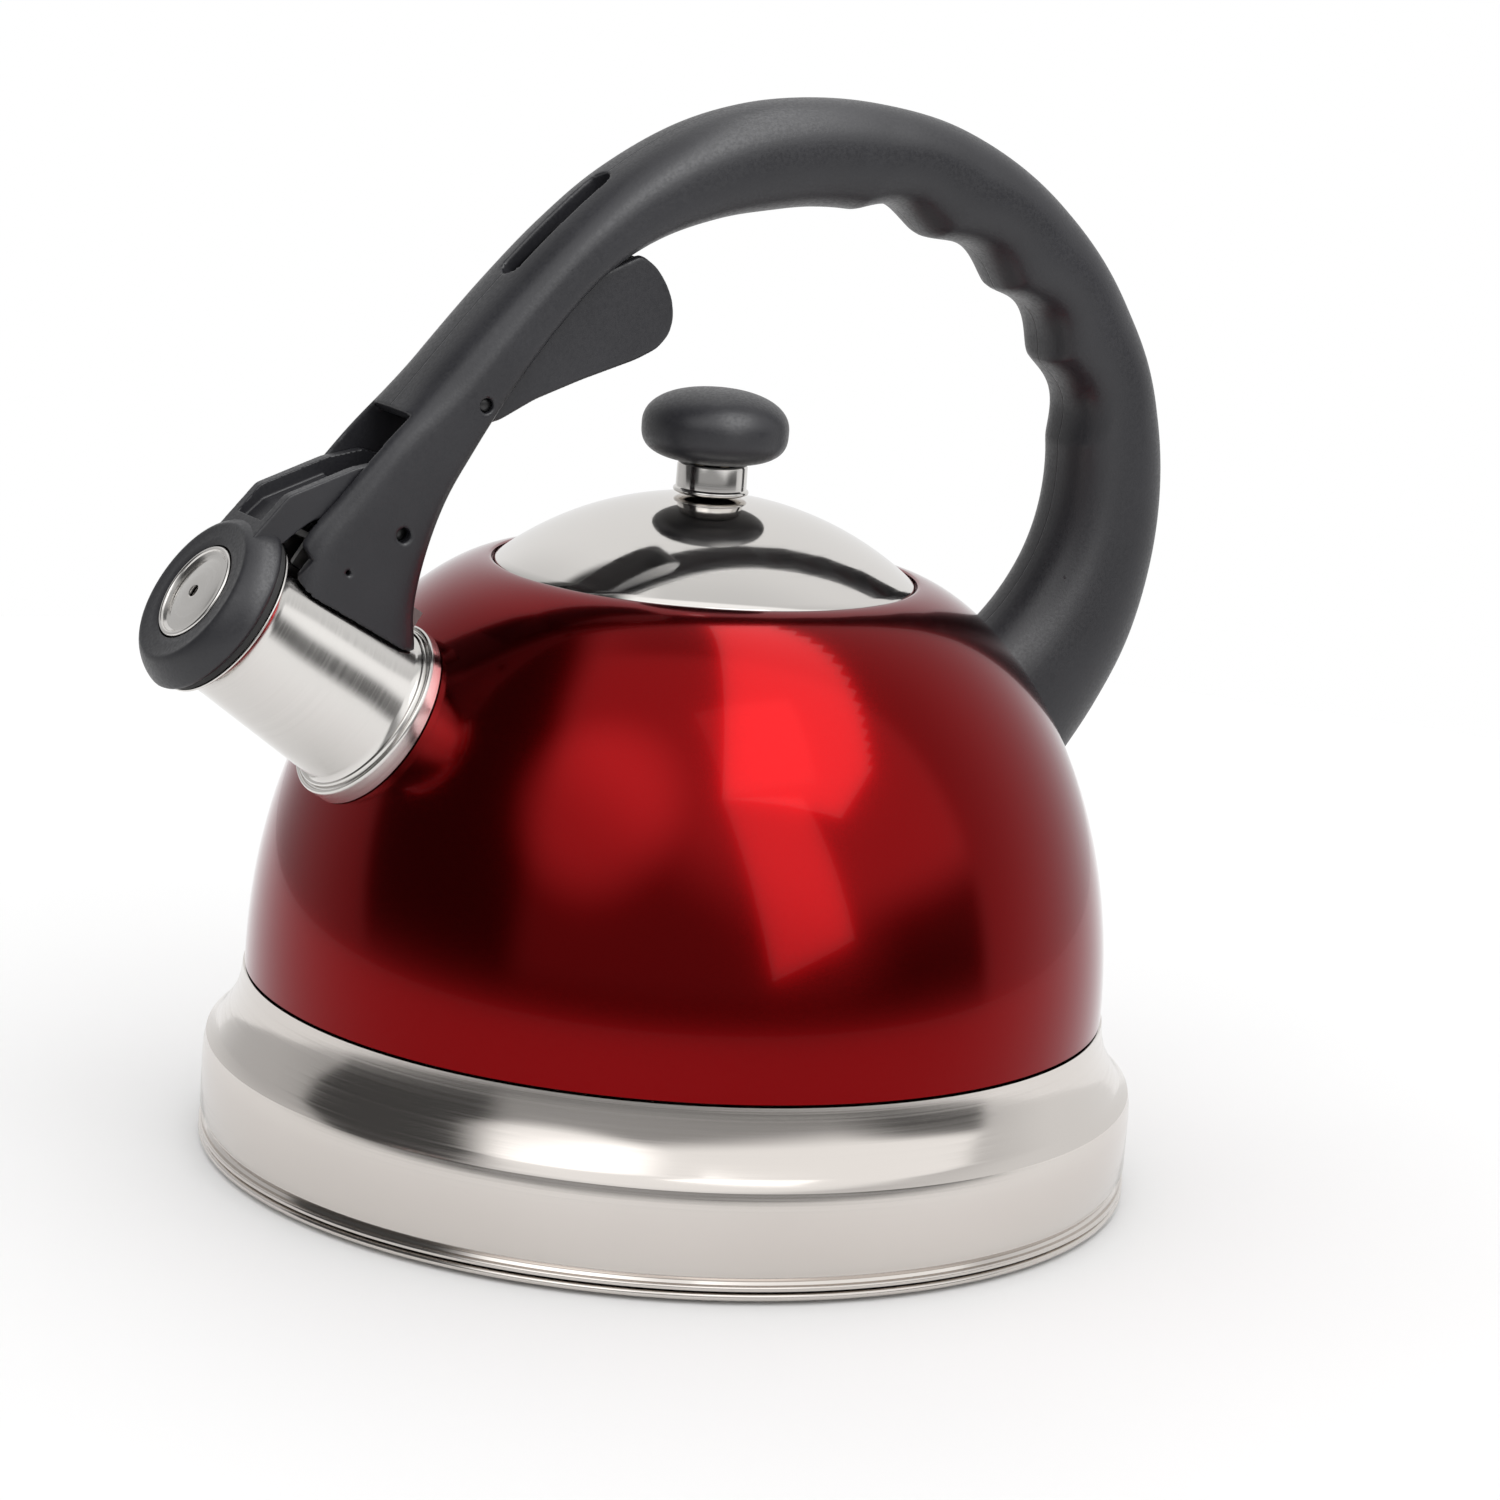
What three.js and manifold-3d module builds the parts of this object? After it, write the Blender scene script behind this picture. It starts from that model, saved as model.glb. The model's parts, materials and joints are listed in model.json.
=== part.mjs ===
// Stovetop whistling kettle: a steel vessel with a lift-off lid, an arched handle and a trigger that tips
// the spout cap.
// Millimetres. Origin: centre of the flat base on the hob, +Z up, spout towards -X, handle in the XZ plane.
import * as THREE from 'three';
import { mergeVertices } from 'three/addons/utils/BufferGeometryUtils.js';
import Module from 'manifold-3d';

const wasm = await Module();
wasm.setup();

// ---- driving dimensions ----
const GAP = 0.3;                 // air between pieces that touch
const SHEET = 0.8;               // sheet metal thickness
const ROUND = 40;                // sides of the vessel's turned pieces
const SPOUT_ROUND = 28;          // sides of the spout and its cap
const SMALL_ROUND = 20;          // sides of small turned pieces

const BASE_R = 107;              // outer bead of the base seam
const WALL_R = 105.86;           // upright steel band
const WALL_TOP_Z = 19.5;
const RIDGE_R = 104;             // crease where the band turns in to the shoulder
const RIDGE_Z = 26.2;
const DOME_R = 98.45;            // foot of the painted dome
const DOME_Z = 41.07;
const MOUTH_R = 48.78;           // filling opening at the top of the dome
const MOUTH_Z = 137.29;
const DOME_RISE = 2.15;          // exponents of the dome's superellipse
const DOME_SWELL = 1.51;
const LEDGE_Z = 134.4;           // ledge inside the opening that carries the lid
const NECK_R = 45;
const NECK_LOW_Z = 130;

const LID_R = 47.74;
const LID_RIM_Z = 136.9;
const LID_TOP_Z = 154.3;
const KNOB_R = 16.6;
const KNOB_Z = [161.7, 178.3];
const KNOB_MIDDLE_Z = 169.6;     // height of the knob's widest line
const KNOB_BORE_R = 4.3;
const KNOB_BORE_Z = 171.4;
const COLLAR_R = 8.05;
const SCREW_R = 2;

const SPOUT_ROOT = new THREE.Vector3(-82.6, 0, 107.7);
const SPOUT_TILT = THREE.MathUtils.degToRad(33.23);   // rise above the horizontal
const SPOUT_ROOT_R = 18.9;
const SPOUT_TAPER = 0.055;       // radius lost per millimetre along the spout
const LIP_L = 41.8;              // pouring lip, measured along the spout
const LIP_R = 19.6;
const FLANGE_R = 21.45;
const SPOUT_HOLE_R = 15.5;       // hole in the dome behind the spout
const CAP_R = 20.8;
const CAP_BACK_L = 43.9;
const CAP_FACE_L = 50.8;
const CAP_FACE_R = 16.5;
const CAP_SEAT_R = 18.6;         // recess in the back of the cap that holds the gasket
const WHISTLE_R = 11.2;

const HANDLE_HALF = 13;          // half width of the handle
const CHANNEL_HALF = 9.3;        // half width of the channel in the handle
const TRIGGER_HALF = 9;
const LEVER_HALF = 8.8;
const FLANK_HALF = 6;            // inner faces of the cap lever's two flanks
const NOSE_HALF = 5.4;
const TRIGGER_PIVOT = [-64.4, 176.6];
const LEVER_PIVOT = [-82.3, 148.7];
const PIN_R = 1.5;
const HUB_R = 4.8;               // round end of the cap lever at its pin
const PIN_PLAY = 0.12;
const TRIGGER_PIN_HALF = 11.8;
const LEVER_PIN_HALF = 10.6;
const FOOT_PIN_R = 0.55;         // cross pin that holds the handle's front foot on its steel tongue
const FOOT_PIN_HALF = 10.6;
const PEG_R = 1.6;
const TRIGGER_TRAVEL = 12;       // degrees; the cap lever turns 2.3625 times as far
const NOSE_LENGTH = 23.5;        // trigger pivot to peg

// ---- solid helpers ----
function solidOf(geometry) {
  const bare = geometry.index ? geometry : geometry.clone();
  bare.deleteAttribute('normal');
  bare.deleteAttribute('uv');
  const merged = mergeVertices(bare, 1e-3);
  const mesh = new wasm.Mesh({
    numProp: 3,
    vertProperties: new Float32Array(merged.attributes.position.array),
    triVerts: new Uint32Array(merged.index.array),
  });
  return new wasm.Manifold(mesh);
}

function geometryOf(solid) {
  const mesh = solid.getMesh();
  const geometry = new THREE.BufferGeometry();
  geometry.setAttribute('position', new THREE.BufferAttribute(Float32Array.from(mesh.vertProperties), 3));
  geometry.setIndex(Array.from(mesh.triVerts));
  return geometry;
}

const cut = (solid, ...tools) => tools.reduce((left, tool) => left.subtract(tool), solid);
const join = (solid, ...others) => others.reduce((sum, other) => sum.add(other), solid);

// A turned solid about +Z from [radius, height] points, which close on themselves or end on the axis.
function turned(profile, sides = SMALL_ROUND) {
  const onAxis = profile[0][0] === 0;
  const loop = onAxis ? profile : [...profile, profile[0]];
  const points = loop.map(([r, z]) => new THREE.Vector2(r, z));
  const area = THREE.ShapeUtils.area(points);
  if (area < 0) points.reverse();
  const geometry = new THREE.LatheGeometry(points, sides);
  geometry.rotateX(Math.PI / 2);
  return solidOf(geometry);
}

function disc(radius, from, to, sides = SMALL_ROUND) {
  return turned([[0, from], [radius, from], [radius, to], [0, to]], sides);
}

// A plate of the outline [x, z] points, centred on the XZ plane or between two y values.
function plate(outline, from, to) {
  const shape = new THREE.Shape(outline.map(([x, z]) => new THREE.Vector2(x, z)));
  const geometry = new THREE.ExtrudeGeometry(shape, { depth: to - from, bevelEnabled: false });
  geometry.rotateX(Math.PI / 2);
  geometry.translate(0, to, 0);
  return solidOf(geometry);
}

// A round bar along Y, centred on [x, z].
function crossBar([x, z], radius, from, to, sides = 16) {
  const geometry = new THREE.CylinderGeometry(radius, radius, to - from, sides);
  geometry.translate(0, (from + to) / 2, 0);
  geometry.translate(x, 0, z);
  return solidOf(geometry);
}

function placed(solid, matrix) {
  const geometry = geometryOf(solid);
  geometry.applyMatrix4(matrix);
  return solidOf(geometry);
}

// Frame of the spout: its axis becomes +Z, and +X points up away from the vessel, square to the axis.
const spoutAxis = new THREE.Vector3(-Math.cos(SPOUT_TILT), 0, Math.sin(SPOUT_TILT));
const spoutUp = new THREE.Vector3(Math.sin(SPOUT_TILT), 0, Math.cos(SPOUT_TILT));
const spoutSide = new THREE.Vector3().crossVectors(spoutAxis, spoutUp);
const spoutFrame = new THREE.Matrix4().makeBasis(spoutUp, spoutSide, spoutAxis).setPosition(SPOUT_ROOT);
const onSpout = (solid) => placed(solid, spoutFrame);

// Point [x, z] at a distance along the spout and a height above its axis.
function spoutPoint(along, above) {
  const point = SPOUT_ROOT.clone().addScaledVector(spoutAxis, along).addScaledVector(spoutUp, above);
  return [point.x, point.z];
}

const FOOT_PIN = spoutPoint(28.4, 21);

const polar = ([x, z], radius, degrees) => {
  const angle = THREE.MathUtils.degToRad(degrees);
  return [x + radius * Math.cos(angle), z + radius * Math.sin(angle)];
};

// ---- vessel ----
function domeRadius(z) {
  const t = THREE.MathUtils.clamp((z - DOME_Z) / (MOUTH_Z - DOME_Z), 0, 1);
  return MOUTH_R + (DOME_R - MOUTH_R) * (1 - t ** DOME_RISE) ** (1 / DOME_SWELL);
}

// Points up the dome, moved out along its normal by the given amount.
function domeLine(offset, fromZ, steps) {
  const points = [];
  const sweep = (Math.PI / 2) * 0.93;
  for (let i = 0; i <= steps; i += 1) {
    const t = Math.sin((sweep * i) / steps) / Math.sin(sweep);
    const z = fromZ + (MOUTH_Z - fromZ) * t;
    const below = Math.max(z - 0.5, DOME_Z);
    const above = Math.min(z + 0.5, MOUTH_Z);
    const slope = (domeRadius(above) - domeRadius(below)) / (above - below);
    const length = Math.hypot(1, slope);
    points.push([domeRadius(z) + offset / length, z - (offset * slope) / length]);
  }
  return points;
}

// The dome's outer shape as a filled solid, grown by a clearance.
function domeEnvelope(clearance) {
  const line = domeLine(clearance, DOME_Z, 8);
  return turned([[0, DOME_Z], ...line, [0, line[line.length - 1][1]]], ROUND);
}

function bodyShell() {
  const outside = domeLine(0, DOME_Z + GAP, 8);
  const inside = domeLine(-SHEET, DOME_Z + GAP, 8).filter(([r]) => r > MOUTH_R + SHEET).reverse();
  const neck = [
    [MOUTH_R - 0.5, MOUTH_Z - 0.2], [MOUTH_R - 0.5, LEDGE_Z], [NECK_R, LEDGE_Z], [NECK_R, NECK_LOW_Z],
    [NECK_R + SHEET, NECK_LOW_Z], [NECK_R + SHEET, LEDGE_Z - SHEET], [MOUTH_R + 0.2, LEDGE_Z - SHEET],
  ];
  const shell = turned([...outside, ...neck, ...inside], ROUND);
  return cut(shell, onSpout(disc(SPOUT_HOLE_R, -20, 10)));
}

function baseSkirt() {
  return turned([
    [WALL_R, 4.9], [WALL_R, WALL_TOP_Z], [WALL_R - 0.4, 23.5], [RIDGE_R, RIDGE_Z], [101, 31.2],
    [98.75, DOME_Z - GAP], [97.2, DOME_Z], [97.2, 46], [96.4, 46], [96.4, 40], [100.2, 30.8],
    [103, 25.7], [WALL_R - SHEET, 21], [WALL_R - SHEET, 6], [104, 5.1], [104, 2.9], [106.9, 3.1],
    [106.9, 4], [105.4, 4.5],
  ], ROUND);
}

function bottomPan() {
  return turned([
    [0, 3.7], [101.2, 3.7], [103, 1], [106.2, 0.7], [BASE_R, 1.3], [106.6, 2.6], [103.7, 2.6], [103.7, 4.1],
    [101.6, 4.5], [0, 4.5],
  ], ROUND);
}

const heatDisc = () => disc(85.5, 1.1, 3.4, ROUND);

function baseCap() {
  return turned([[0, 0], [86, 0], [87.4, 0.9], [87.4, 3.4], [86.4, 3.4], [86.4, 0.8], [0, 0.8]], ROUND);
}

// ---- lid ----
function lidZ(radius, offset = 0) {
  const rise = LID_TOP_Z - LID_RIM_Z;
  const sphere = (LID_R ** 2 + rise ** 2) / (2 * rise);
  return LID_TOP_Z - sphere + Math.sqrt((sphere + offset) ** 2 - radius ** 2);
}

function lidShell() {
  const steps = 6;
  const top = [];
  const under = [];
  for (let i = 0; i <= steps; i += 1) {
    const radius = 2.5 + (LID_R - 2.5) * (i / steps);
    top.push([radius, lidZ(radius)]);
    const inner = Math.min(radius, LID_R - SHEET);
    under.push([inner, lidZ(inner, -SHEET)]);
  }
  const rim = [[LID_R - SHEET, LEDGE_Z + GAP], [LID_R - 0.1, LEDGE_Z + GAP]];
  return turned([...under.slice(0, -1), ...rim, ...top.reverse()], ROUND);
}

function lidPlugRing() {
  const plugR = 44.4;
  const weldR = 41;
  const weldZ = lidZ(weldR, -SHEET - GAP);
  return turned([
    [plugR, 127.5], [plugR, 136.6], [weldR, weldZ], [weldR, weldZ - SHEET], [plugR - SHEET, 135.6],
    [plugR - SHEET, 127.5],
  ], ROUND);
}

const lidWasher = () => turned([[2.4, 151.9], [6.5, 151.9], [6.5, 152.8], [2.4, 152.8]]);

function knobScrew() {
  const head = [[0, 149.6], [2.6, 149.6], [4, 150.6], [4, 151.6]];
  return turned([...head, [SCREW_R, 151.6], [SCREW_R, 169], [0, 169]]);
}

function knobCollar() {
  return turned([
    [3, 154.6], [COLLAR_R + 0.1, 154.6], [COLLAR_R + 0.5, 155.2], [COLLAR_R + 0.1, 155.9],
    [COLLAR_R, 156.2], [COLLAR_R, 161.4], [3, 161.4],
  ]);
}

// A flattened ball, fuller below its widest line than above it.
function knob() {
  const [low, high] = KNOB_Z;
  const profile = [[0, KNOB_BORE_Z], [KNOB_BORE_R, KNOB_BORE_Z], [KNOB_BORE_R, low]];
  for (let degrees = -72; degrees < 90; degrees += 18) {
    const [c, s] = polar([0, 0], 1, degrees);
    const power = s > 0 ? 0.88 : 0.66;
    const height = s > 0 ? high - KNOB_MIDDLE_Z : KNOB_MIDDLE_Z - low;
    profile.push([KNOB_R * c ** power, KNOB_MIDDLE_Z + height * Math.sign(s) * Math.abs(s) ** power]);
  }
  return turned([...profile, [0, high]]);
}

const knobInsert = () => turned([[2.3, 162], [4, 162], [4, 171], [2.3, 171]]);

// ---- spout and cap ----
const spoutRadius = (along) => SPOUT_ROOT_R - SPOUT_TAPER * along;

function spoutTube() {
  const tube = turned([
    [FLANGE_R, -8], [FLANGE_R, 0.5], [20.9, 1.2], [20.2, 1.2], [19.8, 1.9], [spoutRadius(3), 2.8],
    [spoutRadius(40), 40], [18.9, 40.9], [LIP_R, 41.3], [LIP_R - 0.1, LIP_L], [18.5, LIP_L],
    [spoutRadius(40) - SHEET, 40.8], [spoutRadius(0) - SHEET, 0], [spoutRadius(0) - SHEET, -8],
  ], SPOUT_ROUND);
  return cut(onSpout(tube), domeEnvelope(GAP));
}

// The room that the spout needs in the pieces that sit on it.
function spoutEnvelope(clearance) {
  return onSpout(turned([
    [0, -10], [FLANGE_R + clearance, -10], [FLANGE_R + clearance, 2 + clearance],
    [spoutRadius(4) + clearance, 3 + clearance], [spoutRadius(50) + clearance, 50], [0, 50],
  ], SPOUT_ROUND));
}

// Moulded ring round the whistle: a nearly conical side between a soft front edge and a sharp back rim.
function capRing() {
  const seatL = 47;
  const rimL = CAP_BACK_L + 0.9;
  const profile = [
    [WHISTLE_R + GAP, CAP_BACK_L + GAP], [13, CAP_BACK_L + GAP], [13, seatL], [CAP_SEAT_R, seatL],
    [CAP_SEAT_R, CAP_BACK_L], [CAP_R - 0.4, CAP_BACK_L], [CAP_R, rimL],
  ];
  for (const degrees of [22, 45, 68]) {
    const [c, s] = polar([0, 0], 1, degrees).map((part) => part ** 1.4);
    profile.push([CAP_FACE_R + (CAP_R - CAP_FACE_R) * c, rimL + (CAP_FACE_L - rimL) * s]);
  }
  profile.push([CAP_FACE_R - 0.2, CAP_FACE_L], [WHISTLE_R + GAP, CAP_FACE_L - 0.5]);
  return onSpout(turned(profile, SPOUT_ROUND));
}

const capGasket = () => onSpout(turned([
  [13.4, 42.1], [19.6, 42.1], [19.6, 43.6], [18.2, 43.6], [18.2, 46.6], [13.4, 46.6],
], SPOUT_ROUND));

const whistleCup = () => onSpout(turned([
  [1.6, 50.5], [6, 50.3], [9.2, 49.7], [10.6, 50.6], [WHISTLE_R, 50.2], [WHISTLE_R, 44.2],
  [WHISTLE_R - SHEET, 44.2], [WHISTLE_R - SHEET, 48.9], [6, 49.5], [1.6, 49.7],
]));

const whistleBackPlate = () => onSpout(turned([[1.8, 44.6], [10.1, 44.6], [10.1, 45.4], [1.8, 45.4]]));

// ---- handle ----
// Matching points of the handle's crown and grip lines, from the spout round to the back of the dome.
const CROWN = [
  [-109.2, 134.7], [-107.9, 137.4], [-104.9, 147.6], [-96.6, 157.4], [-88.2, 166.9], [-80.6, 175.6],
  [-69, 189.2], [-57, 202.6], [-44.5, 215.3], [-31.5, 226.4], [-13.5, 236.8], [3.5, 242], [20.7, 243.7],
  [37, 242.8], [55, 239], [73, 230.6], [89, 218.6], [102, 204], [111.5, 188.5], [117.5, 172], [120.2, 155],
  [119.6, 138], [115, 119], [106.5, 102.5], [92, 82],
];
const GRIP = [
  [-78.6, 114.7], [-76.3, 121.5], [-77.1, 131], [-75.6, 142], [-71.5, 155], [-65.5, 166],
  [-57.8, 178.2], [-47.5, 192], [-35.5, 204.5], [-23, 211.8], [-7, 216.6], [7, 218.6], [19, 219.6],
  [31, 218.9], [45, 215.4], [60.5, 208.6], [73, 200.4], [82.5, 190.3], [89.3, 177.6], [93.3, 164.5],
  [93.2, 152], [90, 140.5], [84.2, 130.5], [76.5, 122], [66, 114],
];
const FINGER_SPAN = [0.535, 0.79];   // stretch of the handle that carries the finger grooves
const FINGER_COUNT = 4;
const FINGER_DEPTH = 3.3;

function splineXZ(points) {
  const path = points.map(([x, z]) => new THREE.Vector3(x, 0, z));
  return new THREE.CatmullRomCurve3(path, false, 'centripetal');
}

const smooth = (value, from, to) => THREE.MathUtils.smoothstep(value, from, to);
const mix = THREE.MathUtils.lerp;

// Half width and the squareness of the handle's section at a fraction of its length.
function handleSection(u) {
  const grip = smooth(u, 0.2, 0.5);
  return {
    half: HANDLE_HALF + 1.5 * smooth(u, 0.85, 1),
    outerPower: mix(mix(5.5, 2.7, smooth(u, 0.16, 0.24)), 2.4, grip),
    innerPower: mix(6, 2.4, grip),
  };
}

function fingerGroove(u) {
  const [from, to] = FINGER_SPAN;
  if (u <= from || u >= to) return 0;
  return FINGER_DEPTH * Math.abs(Math.sin((Math.PI * FINGER_COUNT * (u - from)) / (to - from))) ** 1.3;
}

function handleBlank() {
  const crown = splineXZ(CROWN);
  const grip = splineXZ(GRIP);
  const rings = 56;
  const around = 16;
  const positions = [];
  const index = [];
  const middles = [];
  for (let i = 0; i <= rings; i += 1) {
    const u = i / rings;
    const outer = crown.getPoint(u);
    const inner = grip.getPoint(u);
    const across = outer.clone().sub(inner);
    across.normalize();
    inner.addScaledVector(across, fingerGroove(u));
    const middle = outer.clone().add(inner).multiplyScalar(0.5);
    const deep = outer.distanceTo(inner) / 2;
    middles.push(middle);
    const { half, outerPower, innerPower } = handleSection(u);
    for (let k = 0; k < around; k += 1) {
      const angle = (2 * Math.PI * k) / around;
      const power = 2 / (Math.sin(angle) > 0 ? outerPower : innerPower);
      const y = half * Math.sign(Math.cos(angle)) * Math.abs(Math.cos(angle)) ** power;
      const n = deep * Math.sign(Math.sin(angle)) * Math.abs(Math.sin(angle)) ** power;
      positions.push(middle.x + across.x * n, y, middle.z + across.z * n);
    }
  }
  for (let i = 0; i < rings; i += 1) {
    for (let k = 0; k < around; k += 1) {
      const a = i * around + k;
      const b = i * around + ((k + 1) % around);
      index.push(a, b, b + around, a, b + around, a + around);
    }
  }
  for (const [row, flip] of [[0, true], [rings, false]]) {
    const centre = positions.length / 3;
    positions.push(middles[row].x, 0, middles[row].z);
    for (let k = 0; k < around; k += 1) {
      const a = row * around + k;
      const b = row * around + ((k + 1) % around);
      if (flip) index.push(centre, b, a);
      else index.push(centre, a, b);
    }
  }
  const geometry = new THREE.BufferGeometry();
  geometry.setAttribute('position', new THREE.Float32BufferAttribute(positions, 3));
  geometry.setIndex(index);
  return solidOf(geometry);
}

// Room for the trigger and the cap lever between the two cheeks.
function handleChannel() {
  const end = 52.6;
  const web = 27;
  return plate([
    [-86, 179.5], [-79.2, 172.4], [-67.4, 186.2], [-55.4, 199.5], [-43.2, 211.6],
    polar(TRIGGER_PIVOT, end, 54.6), polar(TRIGGER_PIVOT, end, 48), polar(TRIGGER_PIVOT, end, 41),
    [-20, 200], [-40, 183], [-58, 165], [-64, 150], [-75.6, 150], spoutPoint(12, web),
    spoutPoint(31.5, web), spoutPoint(31.5, 6), spoutPoint(48, 6), [-125, 150], [-105, 172],
  ], -CHANNEL_HALF, CHANNEL_HALF);
}

// Long opening with round ends through the top of the handle, over the trigger's rib.
function handleSlot() {
  const from = new THREE.Vector2(-53.2, 205.8);
  const to = new THREE.Vector2(-34.5, 223.4);
  const along = to.clone().sub(from);
  const length = along.length();
  const outline = new THREE.Shape();
  outline.absarc(0, 0, 3.4, Math.PI / 2, 1.5 * Math.PI);
  outline.absarc(length, 0, 3.4, -Math.PI / 2, Math.PI / 2);
  const geometry = new THREE.ExtrudeGeometry(outline, { depth: 16, bevelEnabled: false, curveSegments: 5 });
  geometry.translate(0, 0, -8);
  geometry.rotateY(-along.angle());
  geometry.translate(from.x, 0, from.y);
  return solidOf(geometry);
}

function handleNotch() {
  return plate([[-116, 148.5], [-105.2, 147.1], [-102.9, 143.6], [-107.5, 137.7], [-116, 139]], -20, 20);
}

// Frame of the handle's rear foot: origin on the dome, local +Z out of the dome and +X down along it.
const FOOT = { x: 83.1, z: 106, out: new THREE.Vector3(0.858, 0, 0.514) };
const footDown = new THREE.Vector3(FOOT.out.z, 0, -FOOT.out.x);
const footSide = new THREE.Vector3().crossVectors(FOOT.out, footDown);
const footAxes = new THREE.Matrix4().makeBasis(footDown, footSide, FOOT.out);
const footFrame = footAxes.setPosition(FOOT.x, 0, FOOT.z);
const onFoot = (solid) => placed(solid, footFrame);

function block([x0, x1], [y0, y1], [z0, z1]) {
  const geometry = new THREE.BoxGeometry(x1 - x0, y1 - y0, z1 - z0);
  geometry.translate((x0 + x1) / 2, (y0 + y1) / 2, (z0 + z1) / 2);
  return solidOf(geometry);
}

// A bar along the foot frame's +X, which runs down along the dome.
function footBar(radius, from, to, out, sides = 16) {
  const bar = disc(radius, from, to, sides);
  return onFoot(placed(bar, new THREE.Matrix4().makeRotationY(Math.PI / 2).setPosition(0, 0, out)));
}

const POST = { half: 6, thick: 2, top: 15, screw: 9 };

function handle() {
  const room = 0.4;
  const thick = POST.thick + room;
  const half = POST.half + room;
  const pocket = onFoot(block([-thick, thick], [-half, half], [-9, POST.top + room]));
  const pad = onFoot(block([-9.4, 9.4], [-8.4, 8.4], [-9, 2.2]));
  const tongue = spoutBlock([3, 60], [-5.4, 5.4], [0, 24.4]);
  return cut(
    handleBlank(), handleChannel(), handleSlot(), handleNotch(), spoutEnvelope(0.5), domeEnvelope(room),
    pad, pocket, tongue, crossBar(TRIGGER_PIVOT, PIN_R + PIN_PLAY, -20, 20),
    crossBar(LEVER_PIVOT, PIN_R + PIN_PLAY, -20, 20),
    crossBar(FOOT_PIN, FOOT_PIN_R + PIN_PLAY, -20, 20, 12),
    footBar(SCREW_R + GAP, -9.3, 30, POST.screw), footBar(4.4, 14.7, 40, POST.screw, 20),
  );
}

// ---- brackets, pins and screw ----
function spoutBlock(along, side, above) {
  return onSpout(block(above, side, along));
}

function frontBracket() {
  const outer = spoutBlock([4, 37], [-5, 5], [10, 24]);
  const inner = spoutBlock([0, 40], [-3.6, 3.6], [0, 22.6]);
  const hole = crossBar(FOOT_PIN, FOOT_PIN_R + PIN_PLAY, -20, 20, 12);
  return cut(outer, inner, spoutEnvelope(GAP), domeEnvelope(GAP), hole);
}

const footPin = () => crossBar(FOOT_PIN, FOOT_PIN_R, -FOOT_PIN_HALF, FOOT_PIN_HALF, 12);

function rearBracket() {
  const post = onFoot(block([-POST.thick, POST.thick], [-POST.half, POST.half], [-4, POST.top]));
  const pad = onFoot(block([-9, 9], [-8, 8], [-4, 1.8]));
  return cut(join(post, pad), domeEnvelope(0.2), footBar(SCREW_R + GAP, -10, 10, POST.screw));
}

function rearScrew() {
  const shank = footBar(SCREW_R, -9, 14.8, POST.screw);
  const head = footBar(4, 15, 17.4, POST.screw, 20);
  return join(shank, head, footBar(SCREW_R, 14, 16, POST.screw));
}

const triggerPin = () => crossBar(TRIGGER_PIVOT, PIN_R, -TRIGGER_PIN_HALF, TRIGGER_PIN_HALF);
const leverPin = () => crossBar(LEVER_PIVOT, PIN_R, -LEVER_PIN_HALF, LEVER_PIN_HALF);

// ---- trigger and cap lever ----
const pivotLine = Math.atan2(LEVER_PIVOT[1] - TRIGGER_PIVOT[1], LEVER_PIVOT[0] - TRIGGER_PIVOT[0]);
const PEG = polar(TRIGGER_PIVOT, NOSE_LENGTH, THREE.MathUtils.radToDeg(pivotLine) - TRIGGER_TRAVEL / 2);

function trigger() {
  const paddle = plate([
    polar(TRIGGER_PIVOT, 5, 190), polar(TRIGGER_PIVOT, 5, 150), polar(TRIGGER_PIVOT, 5, 110),
    [-60, 182.2], [-43.6, 199.6], [-36.2, 205.2], [-26.8, 209.2], [-22.6, 206.4], [-20, 203],
    [-18.2, 199.3], [-17.6, 195.2], [-18.4, 191.6], [-21.2, 188.4], [-26.2, 186], [-39.8, 181.4],
    [-50.7, 177.2], [-59.2, 172.6], polar(TRIGGER_PIVOT, 5, 270), polar(TRIGGER_PIVOT, 5, 230),
  ], -TRIGGER_HALF, TRIGGER_HALF);
  const hollow = plate([
    [-55.5, 180.5], [-51.2, 179.6], [-40.2, 183.9], [-27.2, 188.4], [-22.7, 190.6], [-20.5, 192.9],
    [-20, 195.6], [-20.6, 198.9], [-22.2, 202], [-24.8, 205], [-26, 214], [-52, 214],
  ], -TRIGGER_HALF + 2, TRIGGER_HALF - 2);
  const rib = plate([
    [-57, 180], [-51, 178], [-40, 182.6], [-27, 187.2], [-21.8, 190.6], [-22, 199], [-29, 205.4],
    [-37, 203.6], [-44.3, 198], [-57, 184.5],
  ], -0.9, 0.9);
  const armWidth = 2.8;
  const [dx, dz] = [PEG[0] - TRIGGER_PIVOT[0], PEG[1] - TRIGGER_PIVOT[1]].map((d) => d / NOSE_LENGTH);
  const side = (at, sign, width) => [at[0] - sign * dz * width, at[1] + sign * dx * width];
  const arm = plate([
    side(TRIGGER_PIVOT, 1, 4), side(PEG, 1, armWidth), side(PEG, -1, armWidth), side(TRIGGER_PIVOT, -1, 4),
  ].reverse(), -NOSE_HALF, NOSE_HALF);
  const nose = crossBar(PEG, armWidth, -NOSE_HALF, NOSE_HALF);
  const peg = crossBar(PEG, PEG_R, -LEVER_HALF + 0.2, LEVER_HALF - 0.2, 12);
  return cut(
    join(cut(paddle, hollow), rib, arm, nose, peg),
    crossBar(TRIGGER_PIVOT, PIN_R + PIN_PLAY, -20, 20),
  );
}

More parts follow.
